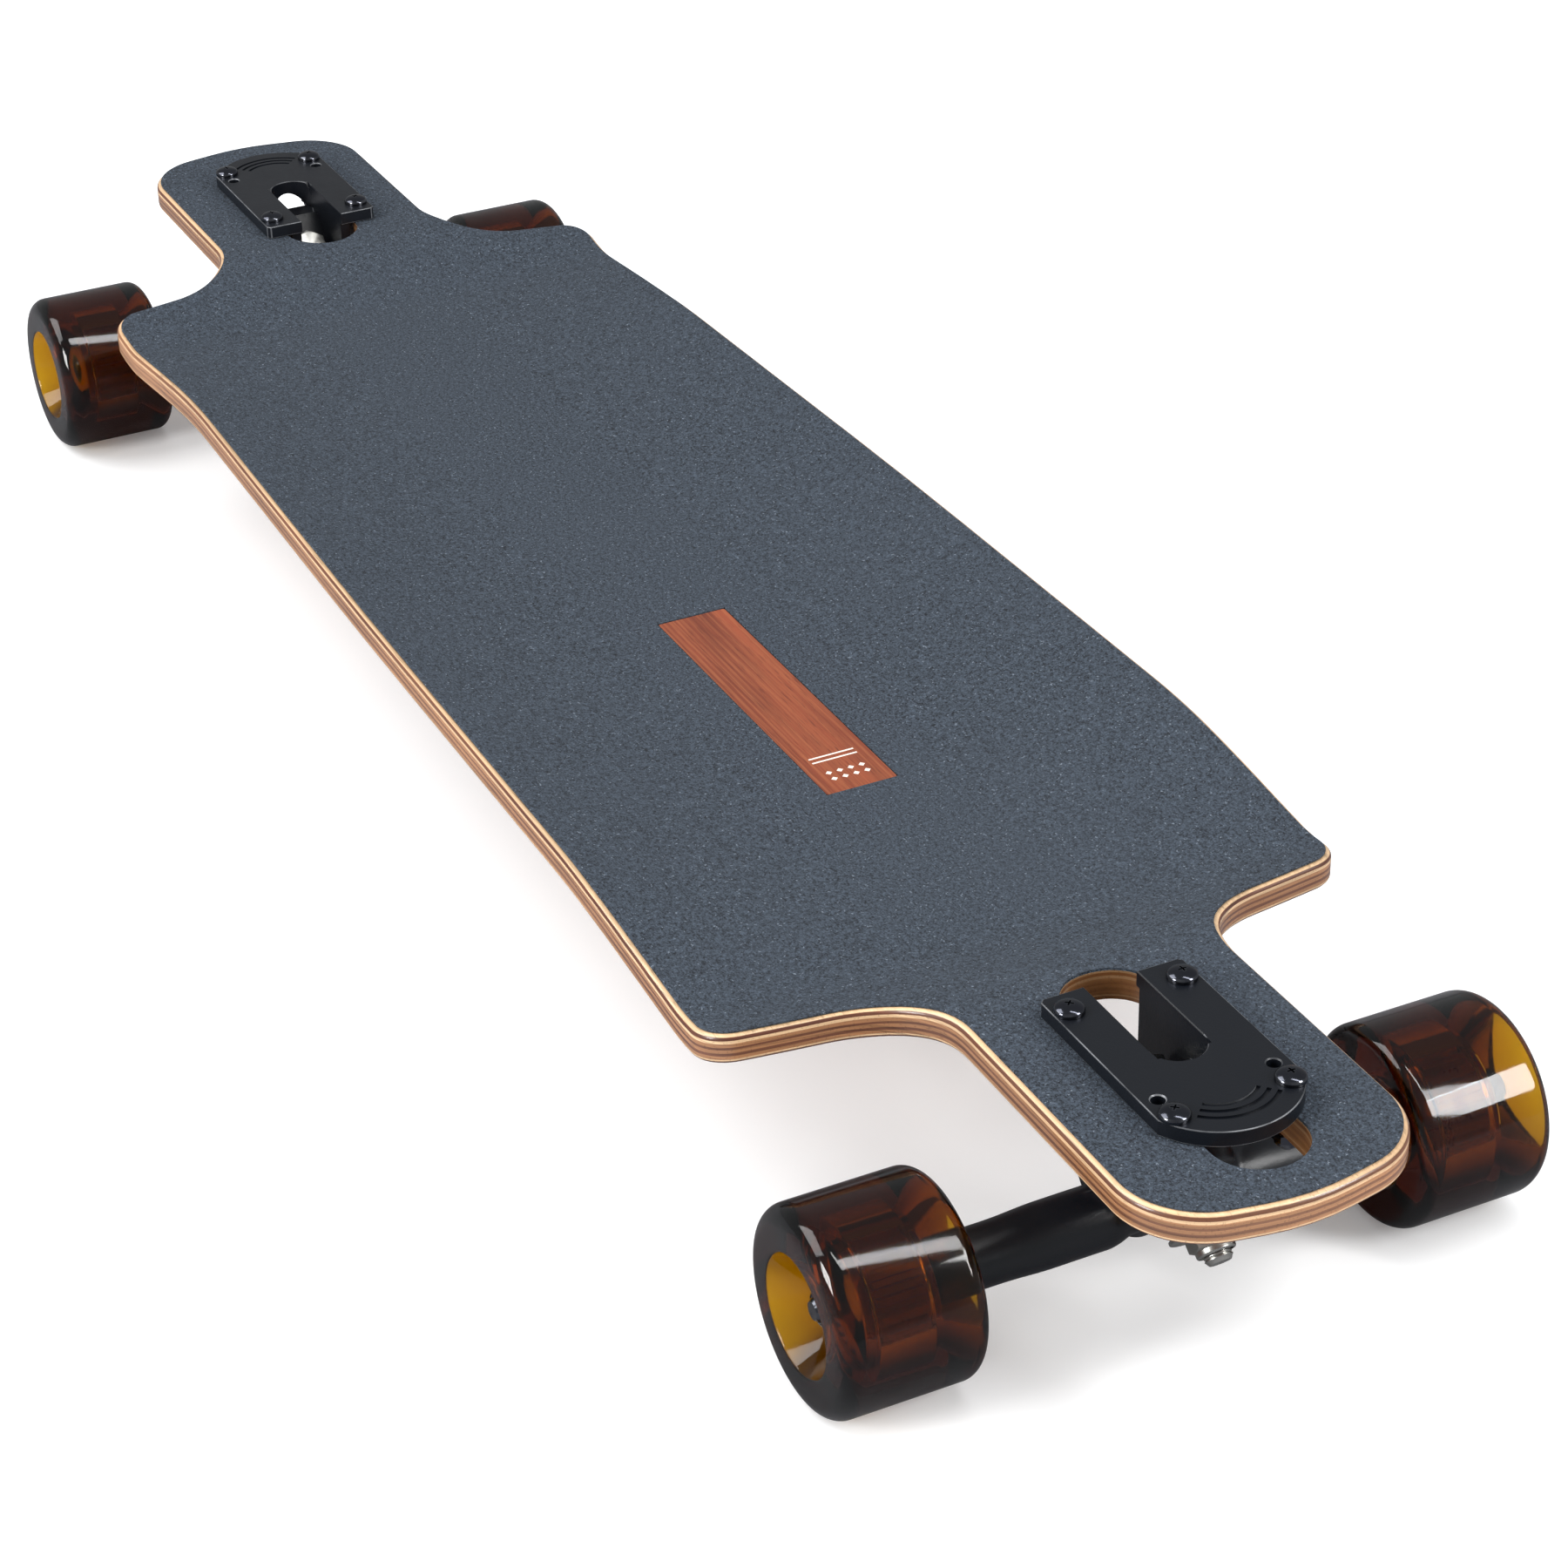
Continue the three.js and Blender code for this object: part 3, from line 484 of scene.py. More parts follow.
# ---- Shader building blocks ----
class Shader:
    """A node tree with short calls for adding and joining nodes."""

    def __init__(self, tree):
        self.tree = tree

    def add(self, kind, inputs=None, **settings):
        node = self.tree.nodes.new(kind)
        for key, value in settings.items():
            setattr(node, key, value)
        for key, value in (inputs or {}).items():
            self.feed(node.inputs[key], value)
        return node

    def feed(self, socket, value):
        if isinstance(value, bpy.types.NodeSocket):
            self.tree.links.new(value, socket)
        else:
            socket.default_value = value

    def math(self, operation, *values, clamp=False):
        node = self.add("ShaderNodeMath", operation=operation, use_clamp=clamp)
        for socket, value in zip(node.inputs, values):
            self.feed(socket, value)
        return node.outputs[0]

    def mix(self, mask, first, second, blend="MIX"):
        node = self.add("ShaderNodeMix", data_type="RGBA", blend_type=blend)
        for index, value in ((0, mask), (6, first), (7, second)):
            self.feed(node.inputs[index], value)
        return node.outputs[2]

    def remap(self, value, low, high, new_low=0.0, new_high=1.0):
        node = self.add("ShaderNodeMapRange", clamp=True)
        for socket, number in zip(node.inputs, (value, low, high, new_low, new_high)):
            self.feed(socket, number)
        return node.outputs[0]

    def ramp(self, value, stops, interpolation="LINEAR"):
        node = self.add("ShaderNodeValToRGB", inputs={"Fac": value})
        elements = node.color_ramp.elements
        node.color_ramp.interpolation = interpolation
        while len(elements) < len(stops):
            elements.new(0.5)
        for element, (position, tone) in zip(elements, stops):
            element.position = position
            element.color = tone
        return node.outputs["Color"]

    def stretched(self, scale):
        """Object coordinates, scaled along each axis."""
        coordinates = self.add("ShaderNodeTexCoord").outputs["Object"]
        return self.add("ShaderNodeMapping", {"Vector": coordinates, "Scale": scale}).outputs["Vector"]

    def noise(self, vector, scale, detail=2.0, roughness=0.5):
        settings = {"Vector": vector, "Scale": scale, "Detail": detail, "Roughness": roughness}
        return self.add("ShaderNodeTexNoise", settings).outputs["Fac"]

    def bump(self, height, strength, distance):
        settings = {"Height": height, "Strength": strength, "Distance": distance}
        return self.add("ShaderNodeBump", settings).outputs["Normal"]

    def attribute(self, name):
        return self.add("ShaderNodeAttribute", attribute_name=name).outputs["Fac"]

    def group(self, tree, **values):
        node = self.add("ShaderNodeGroup", node_tree=tree)
        for key, value in values.items():
            self.feed(node.inputs[key.replace("_", " ")], value)
        return node.outputs


def new_group(name, inputs, outputs):
    """A node group with float inputs (name, default) and outputs (name, kind)."""
    tree = bpy.data.node_groups.new(name, "ShaderNodeTree")
    for label, default in inputs:
        socket = tree.interface.new_socket(label, in_out="INPUT", socket_type="NodeSocketFloat")
        socket.default_value = default
    for label, kind in outputs:
        tree.interface.new_socket(label, in_out="OUTPUT", socket_type=kind)
    shader = Shader(tree)
    source = shader.add("NodeGroupInput").outputs
    target = shader.add("NodeGroupOutput").inputs
    return shader, source, target


def shared(name, build):
    return bpy.data.node_groups.get(name) or build(name)


def build_edge_wear(name):
    """Mask of edges rubbed bright, broken up so that no edge is worn evenly."""
    inputs = [("Amount", 0.5), ("Breakup Scale", 240.0)]
    shader, source, target = new_group(name, inputs, [("Mask", "NodeSocketFloat")])
    edge = shader.attribute("edge")
    coarse = shader.noise(shader.stretched((1, 1, 1)), source["Breakup Scale"], 3.0)
    rubbed = shader.remap(coarse, 0.4, 0.62)
    worn = shader.math("MULTIPLY", edge, shader.math("ADD", rubbed, 0.2))
    shader.feed(target["Mask"], shader.math("MULTIPLY", worn, source["Amount"], clamp=True))
    return shader.tree


def build_handling(name):
    """Roughness that varies as a handled surface does: broad smudges with fine scuffs on them."""
    inputs = [("Base", 0.3), ("Spread", 0.1), ("Scale", 40.0)]
    shader, source, target = new_group(name, inputs, [("Roughness", "NodeSocketFloat")])
    space = shader.stretched((1, 1, 1))
    broad = shader.noise(space, source["Scale"], 3.0, 0.6)
    fine = shader.noise(space, shader.math("MULTIPLY", source["Scale"], 22.0), 2.0)
    both = shader.math("ADD", shader.math("MULTIPLY", broad, 1.4), shader.math("MULTIPLY", fine, 0.6))
    centred = shader.math("SUBTRACT", both, 1.0)
    varied = shader.math("MULTIPLY", centred, source["Spread"])
    shader.feed(target["Roughness"], shader.math("ADD", varied, source["Base"], clamp=True))
    return shader.tree


def build_fibres(name):
    """Wood fibres along X: broad figure, fine streaks and open pores."""
    inputs = [("Fineness", 1.0)]
    outputs = [("Figure", "NodeSocketFloat"), ("Streaks", "NodeSocketFloat"), ("Pores", "NodeSocketFloat")]
    shader, source, target = new_group(name, inputs, outputs)
    figure = shader.noise(shader.stretched((2.2, 26, 60)), source["Fineness"], 4.0, 0.62)
    streaks = shader.noise(shader.stretched((9, 620, 620)), source["Fineness"], 3.0, 0.6)
    pores = shader.noise(shader.stretched((60, 1500, 1500)), source["Fineness"], 1.0)
    shader.feed(target["Figure"], figure)
    shader.feed(target["Streaks"], streaks)
    shader.feed(target["Pores"], shader.remap(pores, 0.6, 0.72))
    return shader.tree


def build_cast_skin(name):
    """Normal of a powder-coated casting: a soft orange peel over a slightly uneven surface."""
    inputs = [("Strength", 0.2), ("Peel Scale", 900.0)]
    shader, source, target = new_group(name, inputs, [("Normal", "NodeSocketVector")])
    space = shader.stretched((1, 1, 1))
    peel = shader.noise(space, source["Peel Scale"], 1.0)
    waves = shader.noise(space, shader.math("MULTIPLY", source["Peel Scale"], 0.12), 2.0)
    height = shader.math("ADD", peel, shader.math("MULTIPLY", waves, 1.6))
    shader.feed(target["Normal"], shader.bump(height, source["Strength"], 0.00012))
    return shader.tree


def material_with_surface(name, **plain):
    """A material with one Principled shader, and the plain values set on its own sockets."""
    material = bpy.data.materials.new(name)
    material.use_nodes = True
    shader = Shader(material.node_tree)
    surface = next(node for node in material.node_tree.nodes if node.type == "BSDF_PRINCIPLED")
    for label, value in plain.items():
        surface.inputs[label.replace("_", " ")].default_value = value
    return material, shader, surface.inputs


def once(name, build):
    return bpy.data.materials.get(name) or build(name)


# ---- Finishes ----
PLIES = (
    # The first pale ply is partly pale maple and partly a painted highlight: it stands for the bright line along the
    # rounded, lacquered top edge.
    (0.06, "maple_pale"),
    (0.17, "veneer_dark"),
    (0.27, "maple_pale"),
    (0.40, "maple_tan"),
    (0.48, "walnut"),
    (0.60, "maple_tan"),
    (0.70, "walnut"),
    (0.82, "maple_tan"),
    (0.88, "maple_pale"),
    (1.00, "walnut"),
)
GLUE_LINE = 0.008  # half of a glue line, as a part of the deck's thickness


def ply_stops():
    stops = []
    start = 0.0
    for end, tone in PLIES:
        shade = tuple(getattr(tones(), tone))
        stops.append((start + GLUE_LINE, shade))
        stops.append((end - GLUE_LINE, shade))
        start = end
    return stops


def laminate(name):
    """Pressed maple plies under lacquer, with end-grain streaks on the rails and veneer on the faces."""
    material, shader, surface = material_with_surface(name, Coat_Weight=0.55, Coat_Roughness=0.12)
    fibres = shader.group(shared("Wood fibres", build_fibres), Fineness=1.0)
    rail = shader.noise(shader.stretched((7, 9, 1400)), 1.0, 4.0, 0.65)
    drift = shader.noise(shader.stretched((5, 5, 40)), 1.0, 2.0)
    shift = shader.remap(drift, 0.3, 0.7, -0.014, 0.014)
    depth = shader.math("ADD", shader.attribute("ply"), shift)
    plies = shader.ramp(depth, ply_stops())
    steep = shader.add("ShaderNodeNewGeometry").outputs["Normal"]
    upright = shader.add("ShaderNodeSeparateXYZ", {"Vector": steep}).outputs["Z"]
    face = shader.remap(shader.math("ABSOLUTE", upright), 0.75, 0.95)
    grain = shader.math("ADD", shader.math("MULTIPLY", fibres["Streaks"], 0.6), fibres["Figure"])
    on_face = shader.remap(grain, 0.55, 1.05, 0.55, 1.35)
    on_rail = shader.remap(rail, 0.3, 0.7, 0.5, 1.25)
    light = shader.add("ShaderNodeMix", {0: face, 2: on_rail, 3: on_face}).outputs[0]
    toned = shader.add("ShaderNodeVectorMath", {0: plies, 1: (1, 1, 1)}, operation="SCALE")
    shader.feed(toned.inputs["Scale"], light)
    warm = shader.mix(shader.remap(drift, 0.45, 0.8, 0.0, 0.35), toned.outputs[0], (0.62, 0.30, 0.13, 1))
    stained = shader.mix(shader.math("MULTIPLY", shader.attribute("hole"), 0.8), warm, tuple(tones().hole_stain))
    pored = shader.mix(shader.math("MULTIPLY", fibres["Pores"], 0.35), stained, (0.05, 0.02, 0.01, 1))
    shader.feed(surface["Base Color"], pored)
    handled = shader.group(shared("Handling", build_handling), Base=0.42, Spread=0.16, Scale=26.0)
    shader.feed(surface["Roughness"], handled["Roughness"])
    height = shader.math("ADD", rail, fibres["Streaks"])
    shader.feed(surface["Normal"], shader.bump(height, 0.25, 0.0001))
    return material


def grit(name):
    """Silicon carbide grip: packed sharp grains, painted lighter on their tops and darker in the valleys, and a few
    with painted glints where they catch the light.
    """
    material, shader, surface = material_with_surface(name)
    space = shader.stretched((1, 1, 1))
    grains = shader.noise(space, 1350.0, 2.0, 0.75)
    clumps = shader.noise(space, 620.0, 2.0, 0.6)
    broad = shader.noise(space, 9.0, 3.0, 0.55)
    mixed = shader.math("ADD", shader.math("MULTIPLY", grains, 0.62), shader.math("MULTIPLY", clumps, 0.38))
    # Grain tops painted lighter and valleys painted darker, following the bump's relief: partly the grit's own
    # mottle, partly painted light and painted shade.
    level = shader.remap(mixed, 0.38, 0.66)
    base = shader.mix(level, tuple(tones().grip_dark), tuple(tones().grip_light))
    dusty = shader.mix(shader.remap(broad, 0.35, 0.75, 0.0, 0.22), base, (0.038, 0.049, 0.066, 1))
    # Painted glints: a few grain cells get a bright base colour, as if catching the light, and are made less rough.
    sparks = shader.add("ShaderNodeTexVoronoi", {"Vector": space, "Scale": 1300.0}).outputs["Color"]
    pick_few = shader.math("GREATER_THAN", shader.add("ShaderNodeSeparateColor", {0: sparks}).outputs[0], 0.96)
    lit = shader.math("MULTIPLY", pick_few, shader.remap(grains, 0.5, 0.62))
    shader.feed(surface["Base Color"], shader.mix(lit, dusty, (0.15, 0.18, 0.22, 1)))
    rough = shader.remap(lit, 0.0, 1.0, 0.9, 0.6)
    shader.feed(surface["Roughness"], rough)
    shader.feed(surface["Normal"], shader.bump(mixed, 0.9, 0.0006))
    return material


def foil_lines(shader):
    """Mask of two thin printed lines and a row of small diamonds, near one end of the inlay."""
    low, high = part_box("veneer_inlay")
    position = shader.add("ShaderNodeTexCoord").outputs["Object"]
    axes = shader.add("ShaderNodeSeparateXYZ", {"Vector": position}).outputs
    along = shader.math("SUBTRACT", high.x, axes["X"])
    across = shader.math("ABSOLUTE", axes["Y"])
    mask = 0.0
    for start, half_width in ((22 * MM, 0.45 * MM), (25 * MM, 0.45 * MM)):
        away = shader.math("ABSOLUTE", shader.math("SUBTRACT", along, start))
        line = shader.math("LESS_THAN", away, half_width)
        inside = shader.math("LESS_THAN", across, 9 * MM)
        mask = shader.math("MAXIMUM", mask, shader.math("MULTIPLY", line, inside))
    for centre in (9 * MM, 13.5 * MM):
        away = shader.math("ABSOLUTE", shader.math("SUBTRACT", along, centre))
        spread = shader.math("ADD", away, shader.math("PINGPONG", shader.math("ADD", across, 2.2 * MM), 2.2 * MM))
        dot = shader.math("LESS_THAN", spread, 1.3 * MM)
        inside = shader.math("LESS_THAN", across, 8.9 * MM)
        mask = shader.math("MAXIMUM", mask, shader.math("MULTIPLY", dot, inside))
    return mask


def veneer(name):
    material, shader, surface = material_with_surface(name, Coat_Weight=0.3, Coat_Roughness=0.3)
    fibres = shader.group(shared("Wood fibres", build_fibres), Fineness=1.6)
    figure = shader.remap(fibres["Figure"], 0.3, 0.72)
    base = shader.mix(figure, tuple(tones().inlay_deep), tuple(tones().inlay_red))
    streaked = shader.mix(shader.remap(fibres["Streaks"], 0.4, 0.7, 0.0, 0.4), base, (0.42, 0.14, 0.05, 1))
    pored = shader.mix(shader.math("MULTIPLY", fibres["Pores"], 0.7), streaked, tuple(tones().inlay_deep))
    foil = foil_lines(shader)
    shader.feed(surface["Base Color"], shader.mix(foil, pored, tuple(tones().foil)))
    handled = shader.group(shared("Handling", build_handling), Base=0.4, Spread=0.15, Scale=60.0)
    shader.feed(surface["Roughness"], handled["Roughness"])
    shader.feed(surface["Normal"], shader.bump(fibres["Streaks"], 0.35, 0.00012))
    return material


def powder_coat(name):
    material, shader, surface = material_with_surface(name, Coat_Weight=0.08, Coat_Roughness=0.3, Specular_IOR_Level=0.38)
    worn = shader.group(shared("Edge wear", build_edge_wear), Amount=0.55, Breakup_Scale=70.0)["Mask"]
    base = shader.mix(worn, tuple(tones().casting_black), tuple(tones().worn_metal))
    shader.feed(surface["Base Color"], base)
    shader.feed(surface["Metallic"], shader.math("MULTIPLY", worn, 0.8))
    handled = shader.group(shared("Handling", build_handling), Base=0.36, Spread=0.16, Scale=55.0)
    shader.feed(surface["Roughness"], handled["Roughness"])
    skin = shader.group(shared("Cast skin", build_cast_skin), Strength=0.22, Peel_Scale=1100.0)
    shader.feed(surface["Normal"], skin["Normal"])
    return material


def plated(name, tone, roughness, spread, wear):
    """Plated steel: fine scuffs, and edges a little brighter."""
    material, shader, surface = material_with_surface(name, Metallic=1.0)
    worn = shader.group(shared("Edge wear", build_edge_wear), Amount=wear, Breakup_Scale=300.0)["Mask"]
    space = shader.stretched((1, 1, 1))
    stain = shader.remap(shader.noise(space, 130.0, 4.0, 0.65), 0.35, 0.75, 0.0, 0.45)
    darker = tuple(0.62 * value for value in tone[:3]) + (1,)
    base = shader.mix(stain, tone, darker)
    shader.feed(surface["Base Color"], shader.mix(worn, base, tuple(tones().worn_metal)))
    handled = shader.group(shared("Handling", build_handling), Base=roughness, Spread=spread, Scale=90.0)
    shader.feed(surface["Roughness"], handled["Roughness"])
    scratches = shader.noise(shader.stretched((2600, 2600, 500)), 1.0, 1.0)
    shader.feed(surface["Normal"], shader.bump(scratches, 0.08, 0.00005))
    return material


def black_chrome(name):
    return plated(name, tuple(tones().black_chrome), 0.14, 0.08, 0.25)


def zinc(name):
    return plated(name, tuple(tones().zinc), 0.3, 0.16, 0.2)


def moulded(name, tone, roughness, **plain):
    """Moulded plastic or rubber: mottled slightly in colour, with a fine mould texture."""
    material, shader, surface = material_with_surface(name, **plain)
    space = shader.stretched((1, 1, 1))
    mottle = shader.remap(shader.noise(space, 85.0, 3.0, 0.6), 0.3, 0.7, 0.0, 0.4)
    darker = tuple(0.55 * value for value in tone[:3]) + (1,)
    shader.feed(surface["Base Color"], shader.mix(mottle, tone, darker))
    handled = shader.group(shared("Handling", build_handling), Base=roughness, Spread=0.14, Scale=70.0)
    shader.feed(surface["Roughness"], handled["Roughness"])
    skin = shader.group(shared("Cast skin", build_cast_skin), Strength=0.12, Peel_Scale=1600.0)
    shader.feed(surface["Normal"], skin["Normal"])
    return material


def honey_urethane(name):
    return moulded(name, tuple(tones().honey), 0.28, Transmission_Weight=0.45, IOR=1.5)


def amber_core(name):
    return moulded(name, tuple(tones().core), 0.3, Transmission_Weight=0.35, IOR=1.5)


def cup_rubber(name):
    return moulded(name, linear("1C1D20"), 0.6)


def nylon(name):
    return moulded(name, tuple(tones().nylon), 0.4)


def clear_urethane(name):
    """Cast amber urethane: clear, strongly tinted by depth, with the light scuffs of handling."""
    material, shader, surface = material_with_surface(name, Transmission_Weight=1.0, IOR=1.5, Specular_IOR_Level=0.3)
    space = shader.stretched((1, 1, 1))
    haze = shader.remap(shader.noise(space, 60.0, 4.0, 0.6), 0.45, 0.8, 0.0, 0.4)
    shader.feed(surface["Base Color"], shader.mix(haze, (1, 0.95, 0.85, 1), (0.9, 0.68, 0.42, 1)))
    handled = shader.group(shared("Handling", build_handling), Base=0.07, Spread=0.07, Scale=45.0)
    shader.feed(surface["Roughness"], handled["Roughness"])
    ripples = shader.noise(space, 55.0, 2.0)
    scuffs = shader.noise(shader.stretched((900, 120, 900)), 1.0, 2.0)
    height = shader.math("ADD", ripples, shader.math("MULTIPLY", scuffs, 0.12))
    shader.feed(surface["Normal"], shader.bump(height, 0.1, 0.0004))
    depth_tint = shader.add("ShaderNodeVolumeAbsorption")
    depth_tint.inputs["Color"].default_value = (0.86, 0.77, 0.05, 1)
    depth_tint.inputs["Density"].default_value = 440.0
    output = next(node for node in material.node_tree.nodes if node.type == "OUTPUT_MATERIAL")
    shader.feed(output.inputs["Volume"], depth_tint.outputs["Volume"])
    return material


# ---- Deck form ----
TIP_CORNER_RISE = 1.6 * MM  # how far the tip's two edges would meet beyond the rounded tip
# The rider's-left half of the outline from tail to nose: x, y and rounding radius of each corner.
LEFT_RAIL = in_millimetres(
    (
        (-471, 50.8, 30),
        (-332.5, 50.8, 38),
        (-323, 115.6, 14),
        (-220, 113.8, 900),
        (0, 119.2, 6000),
        (220, 121.2, 3000),
        (313, 120.2, 14),
        (325.5, 49.8, 38),
        (471, 49.8, 30),
    )
)
TIP_RADIUS = 78 * MM
OUTLINE_STEP = 6 * MM


def blend_step(value, start, end):
    part = min(1.0, max(0.0, (value - start) / (end - start)))
    return part * part * (3 - 2 * part)


def deck_height(x, y):
    sizes = deck_sizes()
    lift = blend_step(abs(x), sizes.drop_start, sizes.drop_end)
    centre = sizes.platform_height + lift * (sizes.neck_height - sizes.platform_height)
    rise = sizes.concave * (1 - blend_step(abs(x), sizes.concave_fade_start, sizes.concave_fade_end))
    reach = max(0, abs(y) - sizes.flat_half_width) / (sizes.rail_half_width - sizes.flat_half_width)
    return centre + rise * reach**2


def left_outline():
    """Points from the middle of the tail to the middle of the nose, close together."""
    tip = deck_sizes().half_length + TIP_CORNER_RISE
    right_rail = [(x, -y, radius) for x, y, radius in reversed(LEFT_RAIL)]
    ring = [(-tip, 0, TIP_RADIUS), *LEFT_RAIL, (tip, 0, TIP_RADIUS), *right_rail]
    points = [p for p in rounded(ring, math.radians(5)) if p.y > -WELD]
    points.sort(key=lambda p: p.x)
    finer = [points[0]]
    for point in points[1:]:
        gap = point - finer[-1]
        count = max(1, math.ceil(gap.length / OUTLINE_STEP))
        start = finer[-1]
        finer += [start + gap * (k / count) for k in range(1, count + 1)]
    return finer


def outline_normals(points):
    normals = []
    last = len(points) - 1
    for i in range(len(points)):
        along = (points[min(i + 1, last)] - points[max(i - 1, 0)]).normalized()
        normals.append(Vector((-along.y, along.x)))
    normals[0] = Vector((-1, 0))
    normals[last] = Vector((1, 0))
    return normals


def shell_section(low, high, rounding, across=22, corner=5):
    """One turn round the board's section: (inset, part of the half width, height above the wooden top)."""
    quarter = [math.pi / 2 * i / corner for i in range(corner + 1)]
    section = []
    for angle in quarter:
        inset = rounding * (1 - math.cos(angle))
        section.append((inset, 1, high - rounding * (1 - math.sin(angle))))
    top = list(section)
    for k in range(1, across):
        section.append((rounding, 1 - 2 * k / across, high))
    for inset, _, height in reversed(top):
        section.append((inset, -1, height))
    middle = low + high
    bottom = [(inset, side, middle - height) for inset, side, height in reversed(section)]
    return section + bottom


def board_shell(name, margin, low, high, rounding):
    """A closed sheet that follows the deck, between two heights above the wooden top."""
    outline = left_outline()
    normals = outline_normals(outline)
    section = shell_section(low, high, rounding)

    def point_at(row, column):
        inset, part, height = section[column]
        edge = outline[row] - normals[row] * (inset + margin)
        y = max(0, edge.y) * part
        return Vector((edge.x, y, deck_height(edge.x, y) + height))

    return wrapped_grid(name, len(outline), len(section), point_at)


def bolt_places():
    sizes = truck_sizes()
    for along in (-0.5, 0.5):
        for across in (-0.5, 0.5):
            x = sizes.bolt_centre + along * sizes.bolt_spacing_x
            yield x, across * sizes.bolt_spacing_y


def truck_holes(name):
    """Cutters for both truck holes and all bolt holes."""
    low = 60 * MM
    high = 110 * MM
    holes = [prism(name, stadium(345 * MM, 464 * MM, 16.7 * MM), low, high)]
    for x, y in bolt_places():
        holes.append(place(rod(name, 2.8 * MM, low, high, 24), Matrix.Translation((x, y, 0))))
    holes += [copy_of(hole, name, HALF_TURN) for hole in holes]
    pick(holes[0])
    for hole in holes:
        hole.select_set(True)
    bpy.ops.object.join()
    return bpy.context.active_object


def on_hole_wall(face):
    """Whether an upright face of the deck belongs to a hole, not to the rail."""
    x, y, _ = face.center
    return abs(face.normal.z) < 0.5 and 340 * MM < abs(x) < 468 * MM and abs(y) < 30 * MM


def make_deck():
    sizes = deck_sizes()
    deck = board_shell("deck_laminate", 0, -sizes.thickness, 0, sizes.edge_rounding)
    cut(deck, truck_holes("truck_holes"))
    finish_skin(deck, 40, even=False)
    depths = [(deck_height(v.co.x, v.co.y) - v.co.z) / sizes.thickness for v in deck.data.vertices]
    layer = deck.data.attributes.new("ply", "FLOAT", "POINT")
    layer.data.foreach_set("value", depths)
    walls = [1.0 if on_hole_wall(face) else 0.0 for face in deck.data.polygons]
    layer = deck.data.attributes.new("hole", "FLOAT", "FACE")
    layer.data.foreach_set("value", walls)
    fit(deck, "board", ["deck"], once("Lacquered plies", laminate))


def make_grip():
    sizes = deck_sizes()
    start = 0.1 * MM
    grip = board_shell("grip_tape", sizes.grip_margin, start, start + sizes.grip_thickness, 0.35 * MM)
    low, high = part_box("veneer_inlay")
    slack = Vector((0.3, 0.3, 4)) * MM
    window = block("inlay_window", high - low + 2 * slack, (low + high) / 2)
    cut(grip, truck_holes("truck_holes"), window)
    finish_skin(grip, 40, even=False)
    fit(grip, "board", ["grip_sheet"], once("Carbide grip", grit))


def make_inlay():
    low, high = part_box("veneer_inlay")
    rounding = deck_sizes().inlay_rounding
    corners = [(x, y, rounding) for x, y in ((low.x, low.y), (high.x, low.y), (high.x, high.y), (low.x, high.y))]
    inlay = prism("inlay_veneer", rounded(corners), low.z - 0.2 * MM, high.z)
    bevel(inlay, 0.18 * MM, 2)
    finish_skin(inlay)
    fit(inlay, "board", ["veneer_inlay"], once("Stained veneer", veneer))


# ---- Baseplates and pivot cups ----
HEAD_DEPTH = -29 * MM  # underside of the kingpin's head, along the kingpin from the ring's middle
SEAT_DEPTH = -21 * MM
HORN_DEPTH = 8.5 * MM
HORN_RADIUS = 10.5 * MM
LEG_FACE = -16 * MM
CUP_RADIUS = 8.2 * MM
SLOT_REACH = (320 * MM, 410.5 * MM)  # the slot's open end, beyond the plate, and its round end


def plate_outline():
    sizes = truck_sizes()
    low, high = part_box("front_baseplate")
    corner = 2 * MM
    end_angle = math.asin((high.y - corner) / sizes.plate_end_radius)
    tip = arc(sizes.plate_end_radius, -end_angle, end_angle, 40, (sizes.plate_end_centre, 0))
    shoulder = tip[-1].x - 3.5 * MM
    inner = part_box("front_baseplate")[0].x
    side = [(shoulder, high.y), (inner + 1.5 * MM, high.y), (inner, high.y - 1.5 * MM)]
    other = [(x, -y) for x, y in reversed(side)]
    return [*tip, *[Vector(p) for p in side + other]]


def wedge_outline():
    """The wedge under the plate seen from the side, as X and Z."""
    sizes = truck_sizes()
    turn = steering_frame()
    plate_low = 93.9 * MM
    plate_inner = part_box("front_baseplate")[0].x

    def beside(along_steer, along_pin):
        spot = turn @ Vector((along_pin, 0, along_steer))
        return (spot.x, spot.z)

    seat_top = sizes.pivot_to_ring + sizes.bushing_radius + 3 * MM
    seat_bottom = sizes.pivot_to_ring - sizes.bushing_radius - 1.5 * MM
    seat_edge = beside(seat_top, SEAT_DEPTH)
    lower_horn = -HORN_RADIUS + 4 * MM
    corners = [
        (plate_inner + 2 * MM, plate_low + 2 * MM, 0),
        (plate_inner + 2 * MM, plate_low - 22 * MM, 3 * MM),
        (*beside(-HORN_DEPTH + 2 * MM, LEG_FACE), 2 * MM),
        (*beside(-HORN_DEPTH, lower_horn), 0),
        (*beside(2 * MM, lower_horn), 0),
        (*beside(2 * MM, LEG_FACE), 2 * MM),
        (*beside(seat_bottom - 3 * MM, LEG_FACE), 2 * MM),
        (*beside(seat_bottom, SEAT_DEPTH), 0.8 * MM),
        (*seat_edge, 1 * MM),
        (seat_edge[0] + 8 * MM, plate_low - 3 * MM, 2 * MM),
        (seat_edge[0] + 12 * MM, plate_low + 2 * MM, 0),
    ]
    return rounded(corners, math.radians(15))


